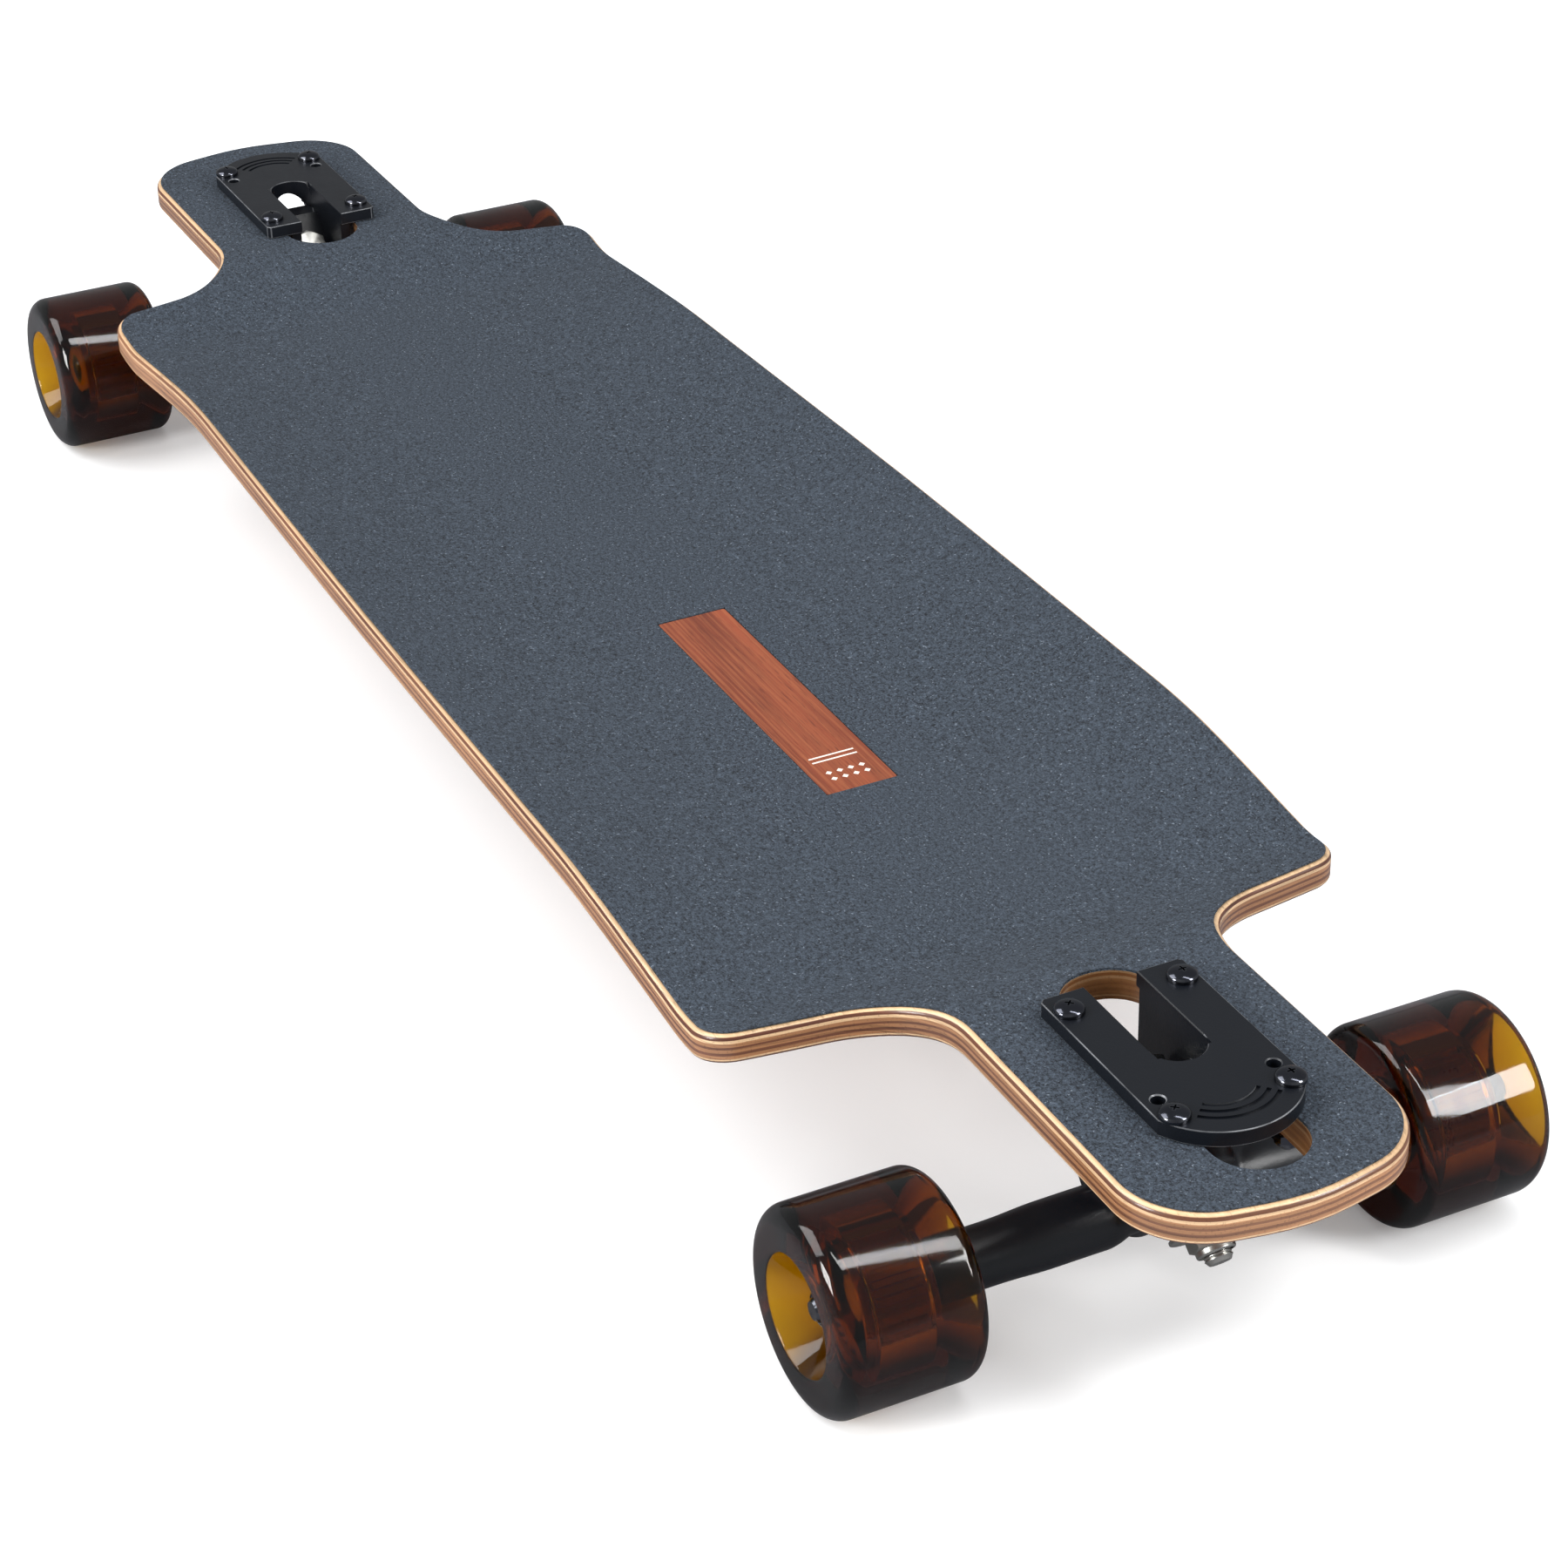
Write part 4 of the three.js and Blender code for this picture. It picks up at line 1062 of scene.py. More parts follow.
def slot_cutter(low, top):
    """A cutter for the plate's slot, flared at the plate's top so that the slot's mouth is chamfered."""
    flare = 0.35 * MM
    half = truck_sizes().slot_half_width
    middle = Vector((sum(SLOT_REACH) / 2, 0))
    levels = ((0.0, low, 0), (0.0, low, 1), (0.0, top - flare, 1), (flare, top, 1), (flare, top + 5 * MM, 1), (0.0, top + 5 * MM, 0))
    loops = [stadium(SLOT_REACH[0] - wider, SLOT_REACH[1] + wider, half + wider) for wider, _, _ in levels]

    def point_at(row, column):
        _, height, spread = levels[row]
        spot = middle.lerp(loops[row][column], spread)
        return Vector((spot.x, spot.y, height))

    return wrapped_grid("slot", len(levels), len(loops[0]), point_at)


def make_wedge():
    sizes = truck_sizes()
    half = sizes.cheek_half_width
    stand = Matrix.Rotation(math.pi / 2, 4, "X")
    wedge = place(prism("wedge", wedge_outline(), -half, half), stand)
    bevel(wedge, 1.0 * MM, 3)
    horn = spun("horn", rounded(((0, -HORN_DEPTH, 0), (HORN_RADIUS, -HORN_DEPTH, 1.2 * MM), (HORN_RADIUS, 2 * MM, 0.8 * MM), (0, 2 * MM, 0))))
    join_on(wedge, place(horn, steering_frame()))
    return wedge


def hollow_cutter():
    """The room between the wedge's cheeks for the kingpin's head, along the steering axis."""
    depth = 60 * MM
    size = (depth, 2 * truck_sizes().slot_half_width, 130 * MM)
    hollow = block("hollow", size, (HEAD_DEPTH - depth / 2, 0, 24 * MM))
    return place(hollow, steering_frame())


def engraved_arcs():
    """Cutters for three shallow arcs that follow the plate's round end."""
    sizes = truck_sizes()
    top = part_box("front_baseplate")[1].z
    spread = math.radians(44)
    for radius in (22 * MM, 18.6 * MM, 15.2 * MM):
        outer = arc(radius, -spread, spread, 24)
        inner = arc(radius - 1.5 * MM, spread, -spread, 24)
        groove = prism("engraved_arc", outer + inner, top - 0.7 * MM, top + 1 * MM)
        yield place(groove, Matrix.Translation((sizes.plate_end_centre, 0, 0)))


def make_baseplates():
    sizes = truck_sizes()
    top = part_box("front_baseplate")[1].z
    low = 93.9 * MM
    plate = prism("baseplate", plate_outline(), low, top)
    bevel(plate, 0.35 * MM, 3)
    join_on(plate, make_wedge())
    cut(plate, slot_cutter(low - 6 * MM, top), hollow_cutter())
    holes = [(x, y, 2.8 * MM) for x, y in bolt_places()]
    spare_x = sizes.bolt_centre - sizes.bolt_spacing_x / 2 + 53.8 * MM
    holes += [(spare_x, side * sizes.bolt_spacing_y / 2, 2.4 * MM) for side in (-1, 1)]
    for x, y, radius in holes:
        mouth = 0.4 * MM
        profile = [(0, low - MM), (radius, low - MM), (radius, top - mouth), (radius + 2 * mouth, top + mouth), (0, top + mouth)]
        cut(plate, place(spun("plate_hole", profile, 32), Matrix.Translation((x, y, 0))))
    cut(plate, *engraved_arcs())
    pocket = rod("cup_pocket", CUP_RADIUS + 0.1 * MM, -HORN_DEPTH + 1.7 * MM, 10 * MM)
    pin_hole = rod("pin_hole", sizes.kingpin_radius + 0.2 * MM, HEAD_DEPTH - 2 * MM, SEAT_DEPTH + 4 * MM)
    cut(plate, place(pocket, steering_frame()), place(pin_hole, kingpin_frame()))
    close_up(plate)
    finish_skin(plate, 35)
    fit_both_trucks(plate, "baseplate", once("Black powder coat", powder_coat))
    make_pivot_cups()


def make_pivot_cups():
    inner = 6.0 * MM
    bottom = -HORN_DEPTH + 2 * MM
    bowl = [(inner * math.sin(a), -1.2 * MM - inner * 0.78 * math.cos(a)) for a in [math.pi / 2 * (1 - k / 10) for k in range(11)]]
    rim = rounded(((CUP_RADIUS, bottom, 0.8 * MM), (CUP_RADIUS, 2.7 * MM, 0.6 * MM), (inner, 2.7 * MM, 0.5 * MM)))
    cup = place(spun("pivot_cup", [(0, bottom), *rim, *bowl]), steering_frame())
    finish_skin(cup)
    fit_both_trucks(cup, "pivot_cup", once("Pivot rubber", cup_rubber))


# ---- Kingpins, nuts, washers, bushings ----
def hexagon(across):
    return [Vector(p) for p in arc(across / math.sqrt(3), 0, 2 * math.pi, 6)[:6]]


def chamfered_hex(name, across, low, high, both=True):
    """A hexagon whose corners are turned down to a cone at its faces."""
    corner = across / math.sqrt(3)
    flat = across / 2 * 0.97
    drop = (corner - flat) * 0.55
    bottom = [(flat, low), (corner, low + drop)] if both else [(corner, low)]
    turned = [(0, low), *bottom, (corner, high - drop), (flat, high), (0, high)]
    piece = prism(name, hexagon(across), low, high)
    boolean(piece, spun("chamfer", turned, 72), "INTERSECT")
    return piece


def lock_nut(name, across, bore, low, high):
    """A hexagon nut with a rounded collar that holds its nylon ring, the collar at the high end."""
    collar = 0.32 * (high - low)
    body = chamfered_hex(name, across, low, high - collar)
    outer = across / 2 * 0.93
    inner = bore + 0.9 * MM
    corners = ((inner, high - 2 * collar, 0), (outer, high - 2 * collar, 0), (outer, high, 0.35 * collar), (inner, high, 0.1 * MM))
    join_on(body, spun("collar", rounded(corners), 64))
    cut(body, rod("bore", bore, low - MM, high - 0.5 * collar), rod("mouth", inner - 0.05 * MM, high - 0.6 * collar, high + MM))
    return body


def nut_insert(name, bore, low, high):
    collar = 0.32 * (high - low)
    outer = bore + 0.8 * MM
    corners = ((bore - 0.1 * MM, high - 0.6 * collar, 0), (outer, high - 0.6 * collar, 0), (outer, high - 0.15 * MM, 0.1 * MM), (bore - 0.1 * MM, high - 0.15 * MM, 0.2 * MM))
    return spun(name, rounded(corners), 48)


def make_kingpins():
    sizes = truck_sizes()
    radius = sizes.kingpin_radius
    end = 32 * MM
    head = chamfered_hex("kingpin", 14.3 * MM, HEAD_DEPTH - 7 * MM, HEAD_DEPTH - 0.3 * MM)
    thread = threaded(radius, 16 * MM, end - 1 * MM, 1.06 * MM, 0.35 * MM)
    shank = [(0, HEAD_DEPTH - 1 * MM), (radius, HEAD_DEPTH - 1 * MM), *thread, (radius - 1 * MM, end), (0, end)]
    join_on(head, spun("shank", shank, 40))
    finish_skin(place(head, kingpin_frame()))
    steel = once("Zinc plate", zinc)
    fit_both_trucks(head, "kingpin", steel)
    nut = lock_nut("kingpin_nut", 14.3 * MM, radius + 0.15 * MM, 22 * MM, 29 * MM)
    finish_skin(place(nut, kingpin_frame()))
    fit_both_trucks(nut, "kingpin_nut", steel)
    make_washers(steel)


def make_washers(steel):
    sizes = truck_sizes()
    bore = sizes.kingpin_radius + 0.3 * MM
    outer = sizes.bushing_radius + 0.8 * MM
    for part, start in (("washer_boardside", SEAT_DEPTH + 0.3 * MM), ("washer_roadside", 20.3 * MM)):
        end = start + 1.4 * MM
        corners = ((bore, start, 0.2 * MM), (outer, start, 0.5 * MM), (outer, end, 0.5 * MM), (bore, end, 0.2 * MM))
        washer = place(spun("washer", rounded(corners), 72), kingpin_frame())
        finish_skin(washer)
        fit_both_trucks(washer, part, steel)


def make_bushings():
    sizes = truck_sizes()
    bore = (sizes.kingpin_radius + 0.3 * MM) / MM
    outer = sizes.bushing_radius / MM
    barrel = ((bore, -19, 0.3), (outer - 1.1, -19, 0.8), (outer, -11.6, 12), (outer - 1.1, -4.3, 0.8), (bore, -4.3, 0.3))
    cone = ((bore, 4.3, 0.3), (outer - 0.5, 4.3, 0.8), (outer - 0.2, 9, 4), (outer - 3.2, 20, 0.9), (bore, 20, 0.3))
    shapes = (("bushing_boardside", barrel, -4.3, -19), ("bushing_roadside", cone, 4.3, 20))
    honey = once("Honey urethane", honey_urethane)
    ends = (("front", Matrix.Identity(4)), ("rear", HALF_TURN))
    for part, corners, near, far in shapes:
        base = spun(part, rounded(in_millimetres(corners)), 72)
        apply_modifier(base, "SUBSURF", levels=1, render_levels=1)
        place(base, kingpin_frame())
        finish_skin(base)
        for end, turn in ends:
            bushing = copy_of(base, f"{end}_{part}_skin", turn)
            fit(bushing, None, [f"{end}_{part}"], honey)
            start = turn @ kingpin_frame() @ Vector((0, 0, near * MM))
            finish = turn @ kingpin_frame() @ Vector((0, 0, far * MM))
            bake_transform(bushing)
        bpy.data.objects.remove(base)


# ---- Hangers ----
def bar_section(y):
    """Where the hanger's bar starts and ends along the steering axis, at a distance across the board."""
    sizes = truck_sizes()
    away = abs(y) / MM
    axle = sizes.pivot_to_axle / MM
    arm = sizes.arm_radius / MM
    bottom = 5.2 + (axle - arm - 5.2) * blend_step(away, 13.5, 24)
    swell = blend_step(away, 14, 24) * (1 - blend_step(away, 28, 62))
    top = axle + arm + 3 * swell - 0.8 * (1 - blend_step(away, 8, 20))
    return bottom * MM, top * MM


def make_hanger_bar():
    sizes = truck_sizes()
    half = sizes.hanger_half
    edge = 1.4 * MM
    ends = [(0.0, half), (1 - 2.2 * MM / sizes.arm_radius, half)]
    ends += [(1 - edge * (1 - math.sin(a)) / sizes.arm_radius, half - edge * (1 - math.cos(a))) for a in (0.35, 0.8, 1.2, 1.57)]
    count = 48
    inner = half - edge
    middle = [(1.0, inner - 2 * inner * k / count) for k in range(1, count)]
    rows = ends + middle + [(part, -y) for part, y in reversed(ends)]
    columns = 40

    def point_at(row, column):
        part, y = rows[row]
        bottom, top = bar_section(y)
        reach = (top - bottom) / 2
        depth = min(reach, sizes.arm_radius + 0.7 * MM)
        angle = 2 * math.pi * column / columns
        x = sizes.rake + part * depth * math.cos(angle)
        return Vector((x, y, (top + bottom) / 2 + part * reach * math.sin(angle)))

    return wrapped_grid("hanger", len(rows), columns, point_at)


def sweep(start, control, end, count):
    """Points of a curve from start to end that leans towards its control point."""
    points = []
    for k in range(count + 1):
        t = k / count
        a = Vector(start).lerp(Vector(control), t)
        b = Vector(control).lerp(Vector(end), t)
        points.append(a.lerp(b, t))
    return points


def make_hanger_web():
    sizes = truck_sizes()
    foot_y = 48 * MM
    foot_z = sizes.pivot_to_axle + sizes.arm_radius - 3 * MM
    touch = math.radians(20)
    side_y = sizes.ring_radius * math.cos(touch)
    side_z = sizes.pivot_to_ring - sizes.ring_radius * math.sin(touch)
    lean = side_y + 11 * MM
    right = sweep((foot_y, foot_z), (lean, foot_z + 3 * MM), (side_y, side_z), 12)
    ring = arc(sizes.ring_radius, -touch, math.pi + touch, 48, (0, sizes.pivot_to_ring))
    left = [Vector((-p.x, p.y)) for p in reversed(right)]
    base = [Vector((-foot_y, foot_z - 4 * MM)), Vector((foot_y, foot_z - 4 * MM))]
    web = prism("web", [*right[:-1], *ring, *left[1:], *base], -4 * MM, 4 * MM)
    bevel(web, 1.0 * MM, 2)
    return place(web, Matrix(((0, 0, 1, 0), (1, 0, 0, 0), (0, 1, 0, 0), (0, 0, 0, 1))))


def make_hangers():
    sizes = truck_sizes()
    ball = 5.9 * MM
    tip = [(ball * math.sin(a), -ball * math.cos(a)) for a in [2.2 * k / 12 for k in range(13)]]
    pin = spun("pivot_pin", [*tip, (5.2 * MM, 9 * MM), (0, 9 * MM)], 40)
    hanger = make_hanger_bar()
    join_on(hanger, make_hanger_web(), pin)
    apply_modifier(hanger, "REMESH", mode="VOXEL", voxel_size=0.75 * MM, use_smooth_shade=True)
    apply_modifier(hanger, "SMOOTH", factor=0.5, iterations=6)
    eye = rod("ring_eye", 7.6 * MM, -12 * MM, 12 * MM, 64)
    turn_eye = Matrix.Translation((0, 0, sizes.pivot_to_ring)) @ LAY_ALONG_X
    bore = rod("axle_bore", sizes.axle_radius + 0.15 * MM, -100 * MM, 100 * MM, 48)
    turn_bore = Matrix.Translation((sizes.rake, 0, sizes.pivot_to_axle)) @ LAY_ALONG_Y
    cut(hanger, place(eye, turn_eye), place(bore, turn_bore))
    finish_skin(place(hanger, steering_frame()), 45, even=False, worn=False)
    fit_both_trucks(hanger, "hanger", once("Black powder coat", powder_coat), on_hanger=True)


# ---- Axles, axle nuts and speed rings ----
def make_axles():
    wheel = wheel_sizes()
    radius = truck_sizes().axle_radius
    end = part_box("front_axle")[1].y
    thread_start = wheel.outer_bearing + wheel.bearing_width + 0.6 * MM
    upper = threaded(radius, thread_start, end - 0.8 * MM, 1.06 * MM, 0.3 * MM) + [(radius - 0.9 * MM, end), (0, end)]
    lower = [(r, -y) for r, y in reversed(upper)]
    axle = spun("axle", lower + upper, 40)
    axle_x, _, axle_z = next(joint["pos_m"] for joint in frame["joints"] if joint["name"] == "front_left_spin")
    place(axle, Matrix.Translation((axle_x, 0, axle_z)) @ LAY_ALONG_Y)
    finish_skin(axle)
    fit_both_trucks(axle, "axle", once("Black chrome", black_chrome), on_hanger=True)
    make_axle_nuts()
    make_speed_rings(once("Zinc plate", zinc))


def make_axle_nuts():
    bore = truck_sizes().axle_radius + 0.15 * MM
    low = 115.6 * MM
    high = 122 * MM
    nut = place(lock_nut("axle_nut", 12.7 * MM, bore, low, high), LAY_ALONG_Y)
    finish_skin(nut)
    fit_four_wheels(nut, "axle_nut", once("Black chrome", black_chrome), on_hanger=True)
    insert = place(nut_insert("axle_nut_insert", bore, low, high), LAY_ALONG_Y)
    finish_skin(insert)
    fit_four_wheels(insert, "nut_insert", once("Nylon", nylon), on_hanger=True, replaces_node=False)


def make_speed_rings(steel):
    wheel = wheel_sizes()
    bore = truck_sizes().axle_radius + 0.15 * MM
    outer = 6.1 * MM
    outer_start = wheel.outer_bearing + wheel.bearing_width + 0.05 * MM
    rings = (("inner_speed_ring", 90.1 * MM, 90.9 * MM), ("outer_speed_ring", outer_start, 115.55 * MM))
    for part, low, high in rings:
        corners = [(r, y, 0.1 * MM) for r, y in ((bore, low), (outer, low), (outer, high), (bore, high))]
        ring = place(spun(part, rounded(corners, math.radians(30)), 48), LAY_ALONG_Y)
        finish_skin(ring)
        fit_four_wheels(ring, part, steel, on_hanger=True, replaces_node=False)


# ---- Wheels ----
RECESS_MOUTH = 20.6 * MM  # radius of the recess at the tyre's outer face
SEAT_NECK = 14.4 * MM  # radius of the opening beside the bearing seat
CORE_END = 0.8 * MM  # how far the core stands out beyond the bearings
NECK_WIDTH = 3 * MM


def make_tyres():
    wheel = wheel_sizes()
    bottom = wheel.inner_bearing - CORE_END
    top = wheel.outer_bearing + wheel.bearing_width + CORE_END
    seat = wheel.core_radius + 0.15 * MM
    lip = wheel.lip_rounding
    corners = [
        (20.2 * MM, wheel.inner_face, 1.2 * MM),
        (wheel.radius, wheel.inner_face, lip * 0.8),
        (wheel.radius, wheel.outer_face, lip),
        (RECESS_MOUTH, wheel.outer_face, 1.0 * MM),
        (SEAT_NECK, top, 0.3 * MM),
        (SEAT_NECK, top - NECK_WIDTH, 0.3 * MM),
        (seat, top - NECK_WIDTH, 0.5 * MM),
        (seat, bottom + NECK_WIDTH, 0.5 * MM),
        (SEAT_NECK, bottom + NECK_WIDTH, 0.3 * MM),
        (SEAT_NECK, bottom, 0.3 * MM),
    ]
    tyre = place(spun("tyre", rounded(corners, math.radians(8)), 128), LAY_ALONG_Y)
    finish_skin(tyre, 50, even=False)
    fit_four_wheels(tyre, "tyre", once("Amber urethane", clear_urethane))


def gear_outline(inner, outer, teeth):
    points = []
    for k in range(teeth):
        for part, radius in ((0.0, inner), (0.38, inner), (0.5, outer), (0.88, outer)):
            angle = 2 * math.pi * (k + part) / teeth
            points.append(Vector((radius * math.cos(angle), radius * math.sin(angle))))
    return points


def make_cores():
    wheel = wheel_sizes()
    bottom = wheel.inner_bearing - CORE_END
    top = wheel.outer_bearing + wheel.bearing_width + CORE_END
    seat = wheel.bearing_radius + 0.1 * MM
    neck = SEAT_NECK - 0.2 * MM
    stop = 8.5 * MM
    body = wheel.core_radius - 1.9 * MM
    low_stop = wheel.inner_bearing + wheel.bearing_width + 0.1 * MM
    high_stop = wheel.outer_bearing - 0.1 * MM
    low_shoulder = bottom + NECK_WIDTH + 0.2 * MM
    high_shoulder = top - NECK_WIDTH - 0.2 * MM
    corners = [
        (seat, bottom, 0.4 * MM),
        (neck, bottom, 0.4 * MM),
        (neck, low_shoulder, 0),
        (body, low_shoulder, 0.4 * MM),
        (body, high_shoulder, 0.4 * MM),
        (neck, high_shoulder, 0),
        (neck, top, 0.4 * MM),
        (seat, top, 0.4 * MM),
        (seat, high_stop, 0),
        (stop, high_stop, 0.4 * MM),
        (stop, low_stop, 0.4 * MM),
        (seat, low_stop, 0),
    ]
    core = spun("core", rounded(corners, math.radians(30)), 72)
    ribs = prism("ribs", gear_outline(body - 0.5 * MM, wheel.core_radius, 22), low_shoulder + 1.5 * MM, high_shoulder - 1.5 * MM)
    bevel(ribs, 0.3 * MM, 2, 30)
    waist = rod("waist", body - 1.5 * MM, low_shoulder, high_shoulder, 72)
    cut(ribs, waist)
    join_on(core, ribs)
    place(core, LAY_ALONG_Y)
    finish_skin(core)
    fit_four_wheels(core, "core", once("Amber core", amber_core))


def make_bearings():
    """Sealed bearings: an outer race, a set-back shield and an inner race."""
    wheel = wheel_sizes()
    bore = truck_sizes().axle_radius + 0.1 * MM
    outer = wheel.bearing_radius
    set_back = 0.45 * MM
    steel = once("Zinc plate", zinc)
    for part, start in (("inner_bearing", wheel.inner_bearing), ("outer_bearing", wheel.outer_bearing)):
        end = start + wheel.bearing_width
        half = [
            (bore, start, 0.3 * MM),
            (6.1 * MM, start, 0.1 * MM),
            (6.3 * MM, start + set_back, 0),
            (9.1 * MM, start + set_back, 0),
            (9.3 * MM, start, 0.1 * MM),
            (outer, start, 0.35 * MM),
        ]
        other = [(radius, start + end - y, rounding) for radius, y, rounding in reversed(half)]
        bearing = place(spun(part, rounded(half + other, math.radians(30)), 72), LAY_ALONG_Y)
        finish_skin(bearing)
        fit_four_wheels(bearing, part, steel)


# ---- Deck bolts and lock nuts ----
def cross_recess(top):
    """Cutters for a cross-shaped driver recess in a bolt head."""
    for size in ((3.0, 0.6), (0.6, 3.0)):
        yield block("recess", (size[0] * MM, size[1] * MM, 1.8 * MM), (0, 0, top))


def make_deck_bolts():
    low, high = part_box("front_deck_bolt_1")
    plate_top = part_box("front_baseplate")[1].z
    head = (high.x - low.x) / 2
    shank = 2.4 * MM
    brim = plate_top + 0.9 * MM
    dome = [(head * math.sin(a), brim + (high.z - brim) * math.cos(a)) for a in [math.pi / 2 * k / 14 for k in range(1, 15)]]
    under = plate_top + 0.1 * MM
    thread = threaded(shank, low.z + 0.4 * MM, low.z + 9 * MM, 0.8 * MM, 0.2 * MM)
    profile = [(0, low.z), (shank - 0.5 * MM, low.z), *thread, (shank, under), (head, under), *reversed(dome), (0, high.z)]
    bolt = spun("deck_bolt", profile, 48)
    cut(bolt, *cross_recess(high.z))
    finish_skin(bolt, 40)
    nut_low, nut_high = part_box("front_lock_nut_1")
    nut = lock_nut("lock_nut", 9.5 * MM, shank + 0.1 * MM, -nut_high.z, -nut_low.z)
    place(nut, Matrix.Rotation(math.pi, 4, "X"))
    finish_skin(nut)
    chrome = once("Black chrome", black_chrome)
    for number, (x, y) in enumerate(bolt_places(), start=1):
        for part, base in ((f"deck_bolt_{number}", bolt), (f"lock_nut_{number}", nut)):
            twist = Matrix.Rotation(0.8 * number, 4, "Z")
            piece = copy_of(base, part, Matrix.Translation((x, y, 0)) @ twist)
            fit_both_trucks(piece, part, chrome)
    bpy.data.objects.remove(bolt)
    bpy.data.objects.remove(nut)


# ---- Stage ----
CAMERA_PLACE = (1.22865, -0.52669, 0.77567)
CAMERA_TURN = (59.239, 1.252, 63.781)
# Each soft box: name, place, width, height, power.
SOFT_BOXES = (
    ("key", (-0.9, -1.7, 2.1), 1.8, 1.8, 44),
    ("overhead_strip", (1.05, 0.65, 2.0), 0.25, 1.8, 14),
    ("left_box", (0.4, -2.2, 1.05), 0.75, 0.9, 36),
    ("right_box", (1.85, 1.3, 1.25), 0.7, 0.9, 30),
)


def make_floor(width):
    clear_selection()
    bpy.ops.mesh.primitive_plane_add(size=width)
    floor = named("floor")
    material, shader, surface = material_with_surface("Studio paper", Roughness=0.9, Specular_IOR_Level=0.1, Emission_Color=(1, 1, 1, 1))
    fibre = shader.noise(shader.stretched((1, 1, 1)), 40.0, 2.0)
    paper = shader.mix(fibre, (0.93, 0.93, 0.93, 1), (0.95, 0.95, 0.95, 1))
    ray = shader.add("ShaderNodeLightPath").outputs
    mirrored = shader.math("SUBTRACT", ray["Is Glossy Ray"], ray["Is Transmission Ray"], clamp=True)
    shader.feed(surface["Base Color"], shader.mix(mirrored, paper, (0.2, 0.2, 0.21, 1)))
    shader.feed(surface["Emission Strength"], shader.remap(mirrored, 0, 1, 0.12, 0.0))
    floor.data.materials.append(material)


def make_lights():
    target = Vector((0.2, 0, 0.05))
    for name, spot, width, height, power in SOFT_BOXES:
        aim = (target - Vector(spot)).to_track_quat("-Z", "Y").to_euler()
        bpy.ops.object.light_add(type="AREA", location=spot, rotation=aim)
        light = bpy.context.active_object
        light.name = name
        light.data.shape = "RECTANGLE"
        light.data.size = width
        light.data.size_y = height
        light.data.energy = power


def make_surround():
    """A white room for lit surfaces that looks dimmer in reflections."""
    world = bpy.data.worlds.new("Studio")
    bpy.context.scene.world = world
    world.use_nodes = True
    shader = Shader(world.node_tree)
    background = next(node for node in world.node_tree.nodes if node.type == "BACKGROUND")
    background.inputs["Color"].default_value = (0.96, 0.98, 1.0, 1)
    glossy = shader.add("ShaderNodeLightPath").outputs["Is Glossy Ray"]
    shader.feed(background.inputs["Strength"], shader.remap(glossy, 0, 1, 0.76, 0.3))


def make_camera(lens):
    turn = [math.radians(angle) for angle in CAMERA_TURN]
    bpy.ops.object.camera_add(location=CAMERA_PLACE, rotation=turn)
    camera = bpy.context.active_object
    camera.data.sensor_width = 36
    camera.data.lens = lens
    bpy.context.scene.camera = camera


# ---- Operators ----
class LONGBOARD_OT_deck(Operator):
    """Add the laminated deck with its rounded rails and truck holes"""

    bl_idname = "longboard.deck"
    bl_label = "Deck"

    def execute(self, context):
        make_deck()
        return {"FINISHED"}


class LONGBOARD_OT_grip(Operator):
    """Add the grip sheet, with its window for the inlay"""

    bl_idname = "longboard.grip"
    bl_label = "Grip sheet"

    def execute(self, context):
        make_grip()
        return {"FINISHED"}


class LONGBOARD_OT_inlay(Operator):
    """Add the veneer inlay"""

    bl_idname = "longboard.inlay"
    bl_label = "Veneer inlay"

    def execute(self, context):
        make_inlay()
        return {"FINISHED"}


class LONGBOARD_OT_baseplates(Operator):
    """Add both baseplates and their pivot cups"""

    bl_idname = "longboard.baseplates"
    bl_label = "Baseplates"

    def execute(self, context):
        make_baseplates()
        return {"FINISHED"}


class LONGBOARD_OT_kingpins(Operator):
    """Add the kingpins with their nuts and washers"""

    bl_idname = "longboard.kingpins"
    bl_label = "Kingpins"

    def execute(self, context):
        make_kingpins()
        return {"FINISHED"}


class LONGBOARD_OT_bushings(Operator):
    """Add the barrel and cone bushings of both trucks"""

    bl_idname = "longboard.bushings"
    bl_label = "Bushings"

    def execute(self, context):
        make_bushings()
        return {"FINISHED"}


class LONGBOARD_OT_hangers(Operator):
    """Add both cast hangers"""

    bl_idname = "longboard.hangers"
    bl_label = "Hangers"

    def execute(self, context):
        make_hangers()
        return {"FINISHED"}


class LONGBOARD_OT_axles(Operator):
    """Add the axles with their nuts and speed rings"""

    bl_idname = "longboard.axles"
    bl_label = "Axles"

    def execute(self, context):
        make_axles()
        return {"FINISHED"}


class LONGBOARD_OT_tyres(Operator):
    """Add the four clear urethane tyres"""

    bl_idname = "longboard.tyres"
    bl_label = "Tyres"

    def execute(self, context):
        make_tyres()
        return {"FINISHED"}


class LONGBOARD_OT_cores(Operator):
    """Add the four ribbed wheel cores"""

    bl_idname = "longboard.cores"
    bl_label = "Wheel cores"

    def execute(self, context):
        make_cores()
        return {"FINISHED"}


class LONGBOARD_OT_bearings(Operator):
    """Add the eight bearings"""

    bl_idname = "longboard.bearings"
    bl_label = "Bearings"

    def execute(self, context):
        make_bearings()
        return {"FINISHED"}


class LONGBOARD_OT_deck_bolts(Operator):
    """Add the deck bolts and their lock nuts"""

    bl_idname = "longboard.deck_bolts"
    bl_label = "Deck bolts"

    def execute(self, context):
        make_deck_bolts()
        return {"FINISHED"}


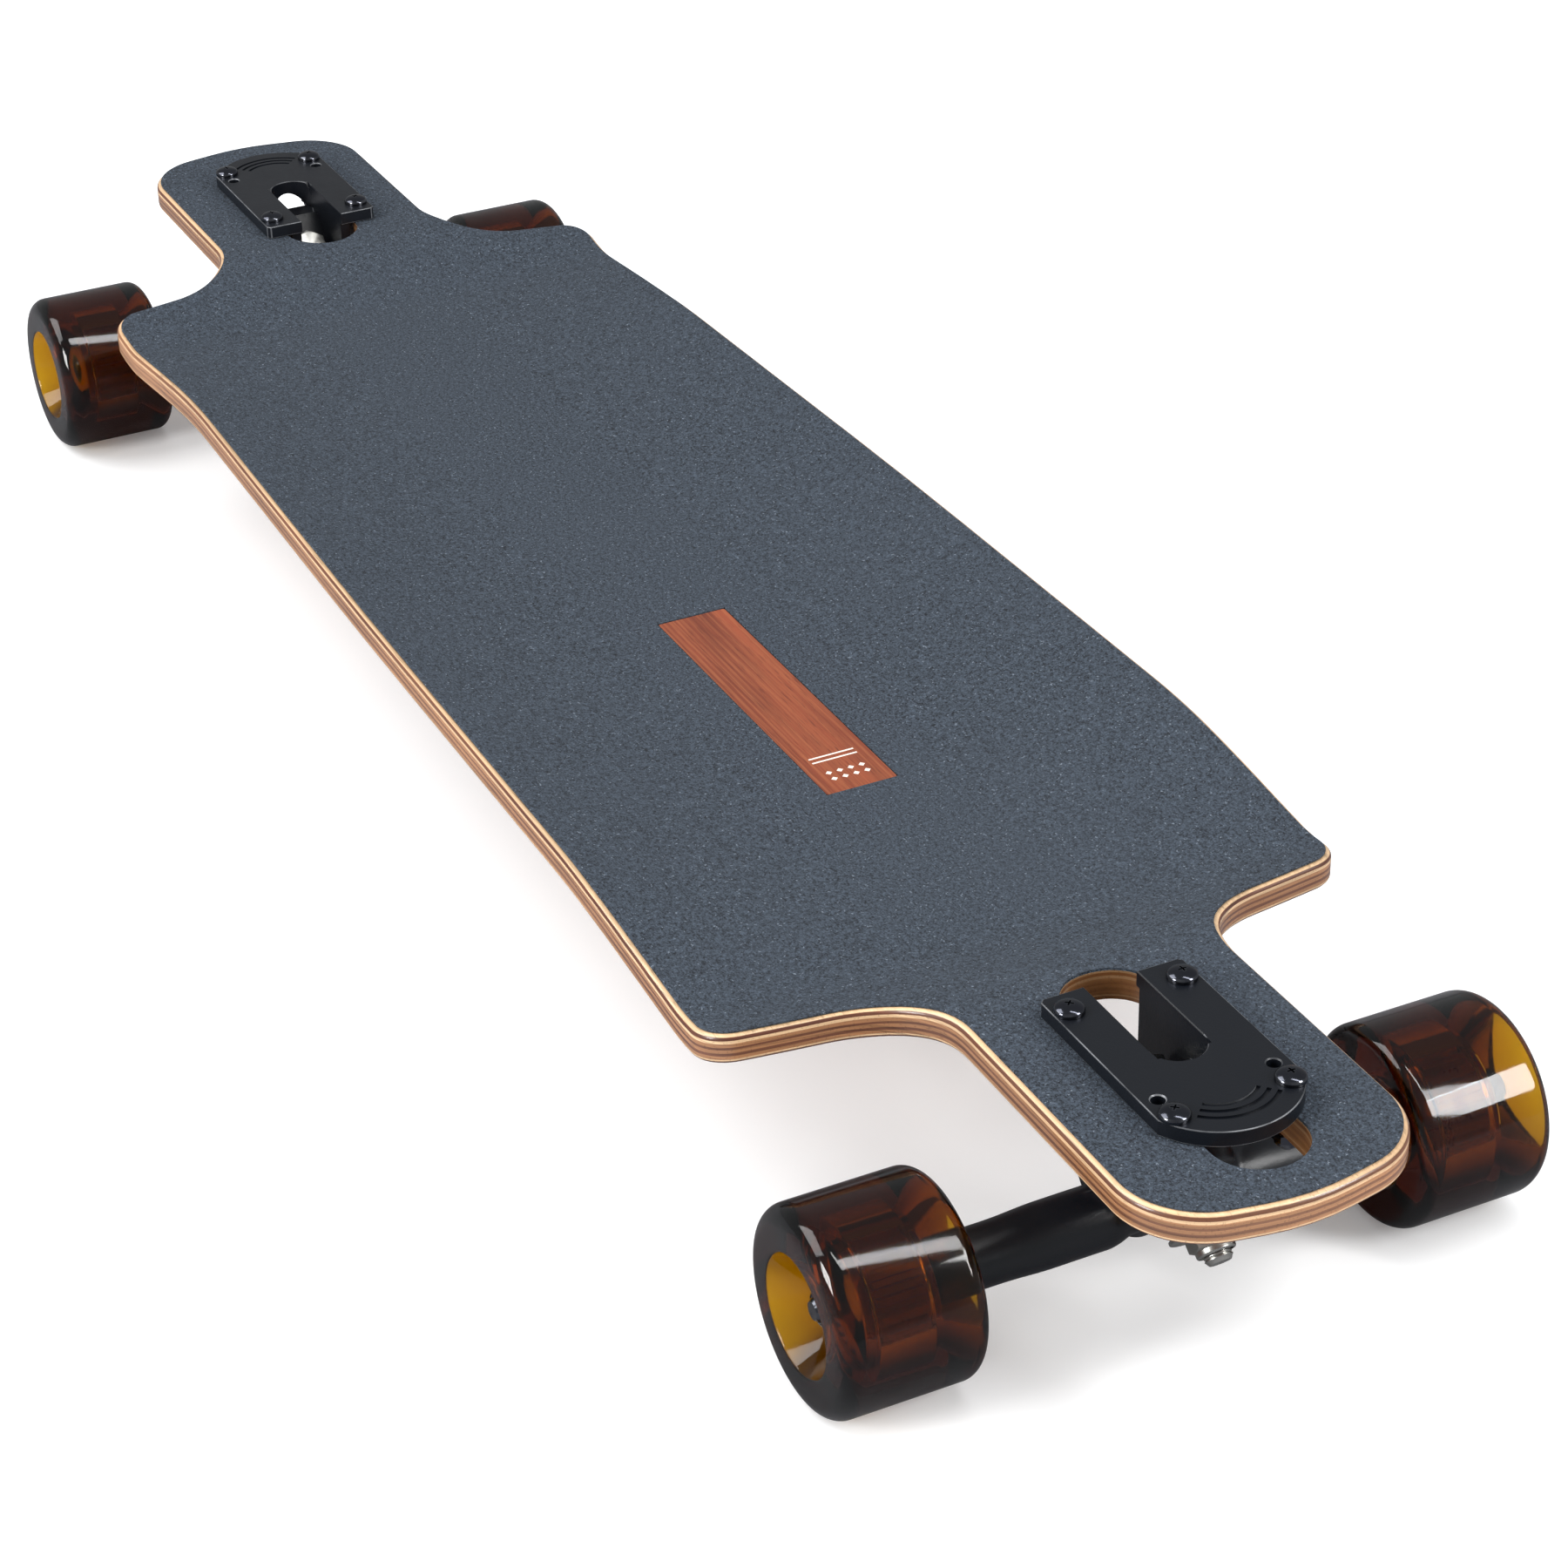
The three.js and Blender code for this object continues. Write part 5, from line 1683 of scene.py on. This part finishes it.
class LONGBOARD_OT_stage(Operator):
    """Add the floor, the soft boxes and the camera"""

    bl_idname = "longboard.stage"
    bl_label = "Stage"

    def execute(self, context):
        stage = context.scene.longboard_stage
        make_floor(stage.floor_size)
        make_lights()
        make_surround()
        make_camera(stage.lens)
        context.scene.view_settings.view_transform = "Standard"
        return {"FINISHED"}


OPERATORS = (
    LONGBOARD_OT_stage,
    LONGBOARD_OT_deck,
    LONGBOARD_OT_grip,
    LONGBOARD_OT_inlay,
    LONGBOARD_OT_baseplates,
    LONGBOARD_OT_kingpins,
    LONGBOARD_OT_bushings,
    LONGBOARD_OT_hangers,
    LONGBOARD_OT_axles,
    LONGBOARD_OT_tyres,
    LONGBOARD_OT_cores,
    LONGBOARD_OT_bearings,
    LONGBOARD_OT_deck_bolts,
)


class LONGBOARD_PT_panel(Panel):
    """Sizes, colours and pieces of the longboard"""

    bl_idname = "LONGBOARD_PT_panel"
    bl_label = "Longboard"
    bl_space_type = "VIEW_3D"
    bl_region_type = "UI"
    bl_category = "Longboard"

    def draw(self, context):
        scene = context.scene
        groups = (scene.longboard_deck, scene.longboard_truck, scene.longboard_wheel)
        for group in (*groups, scene.longboard_colours, scene.longboard_stage):
            box = self.layout.box()
            for name in group.__annotations__:
                box.prop(group, name)
        for operator in OPERATORS:
            self.layout.operator(operator.bl_idname)


GROUPS = {
    "longboard_deck": DeckSizes,
    "longboard_truck": TruckSizes,
    "longboard_wheel": WheelSizes,
    "longboard_colours": Colours,
    "longboard_stage": StageSizes,
}


def register():
    for name, group in GROUPS.items():
        bpy.utils.register_class(group)
        setattr(bpy.types.Scene, name, PointerProperty(type=group))
    for operator in OPERATORS:
        bpy.utils.register_class(operator)
    bpy.utils.register_class(LONGBOARD_PT_panel)


def unregister():
    bpy.utils.unregister_class(LONGBOARD_PT_panel)
    for operator in reversed(OPERATORS):
        bpy.utils.unregister_class(operator)
    for name, group in GROUPS.items():
        delattr(bpy.types.Scene, name)
        bpy.utils.unregister_class(group)


def main():
    register()
    bpy.ops.longboard.stage()
    bpy.ops.longboard.deck()
    bpy.ops.longboard.grip()
    bpy.ops.longboard.inlay()
    bpy.ops.longboard.baseplates()
    bpy.ops.longboard.kingpins()
    bpy.ops.longboard.bushings()
    bpy.ops.longboard.hangers()
    bpy.ops.longboard.axles()
    bpy.ops.longboard.tyres()
    bpy.ops.longboard.cores()
    bpy.ops.longboard.bearings()
    bpy.ops.longboard.deck_bolts()


if __name__ == "__main__":
    main()
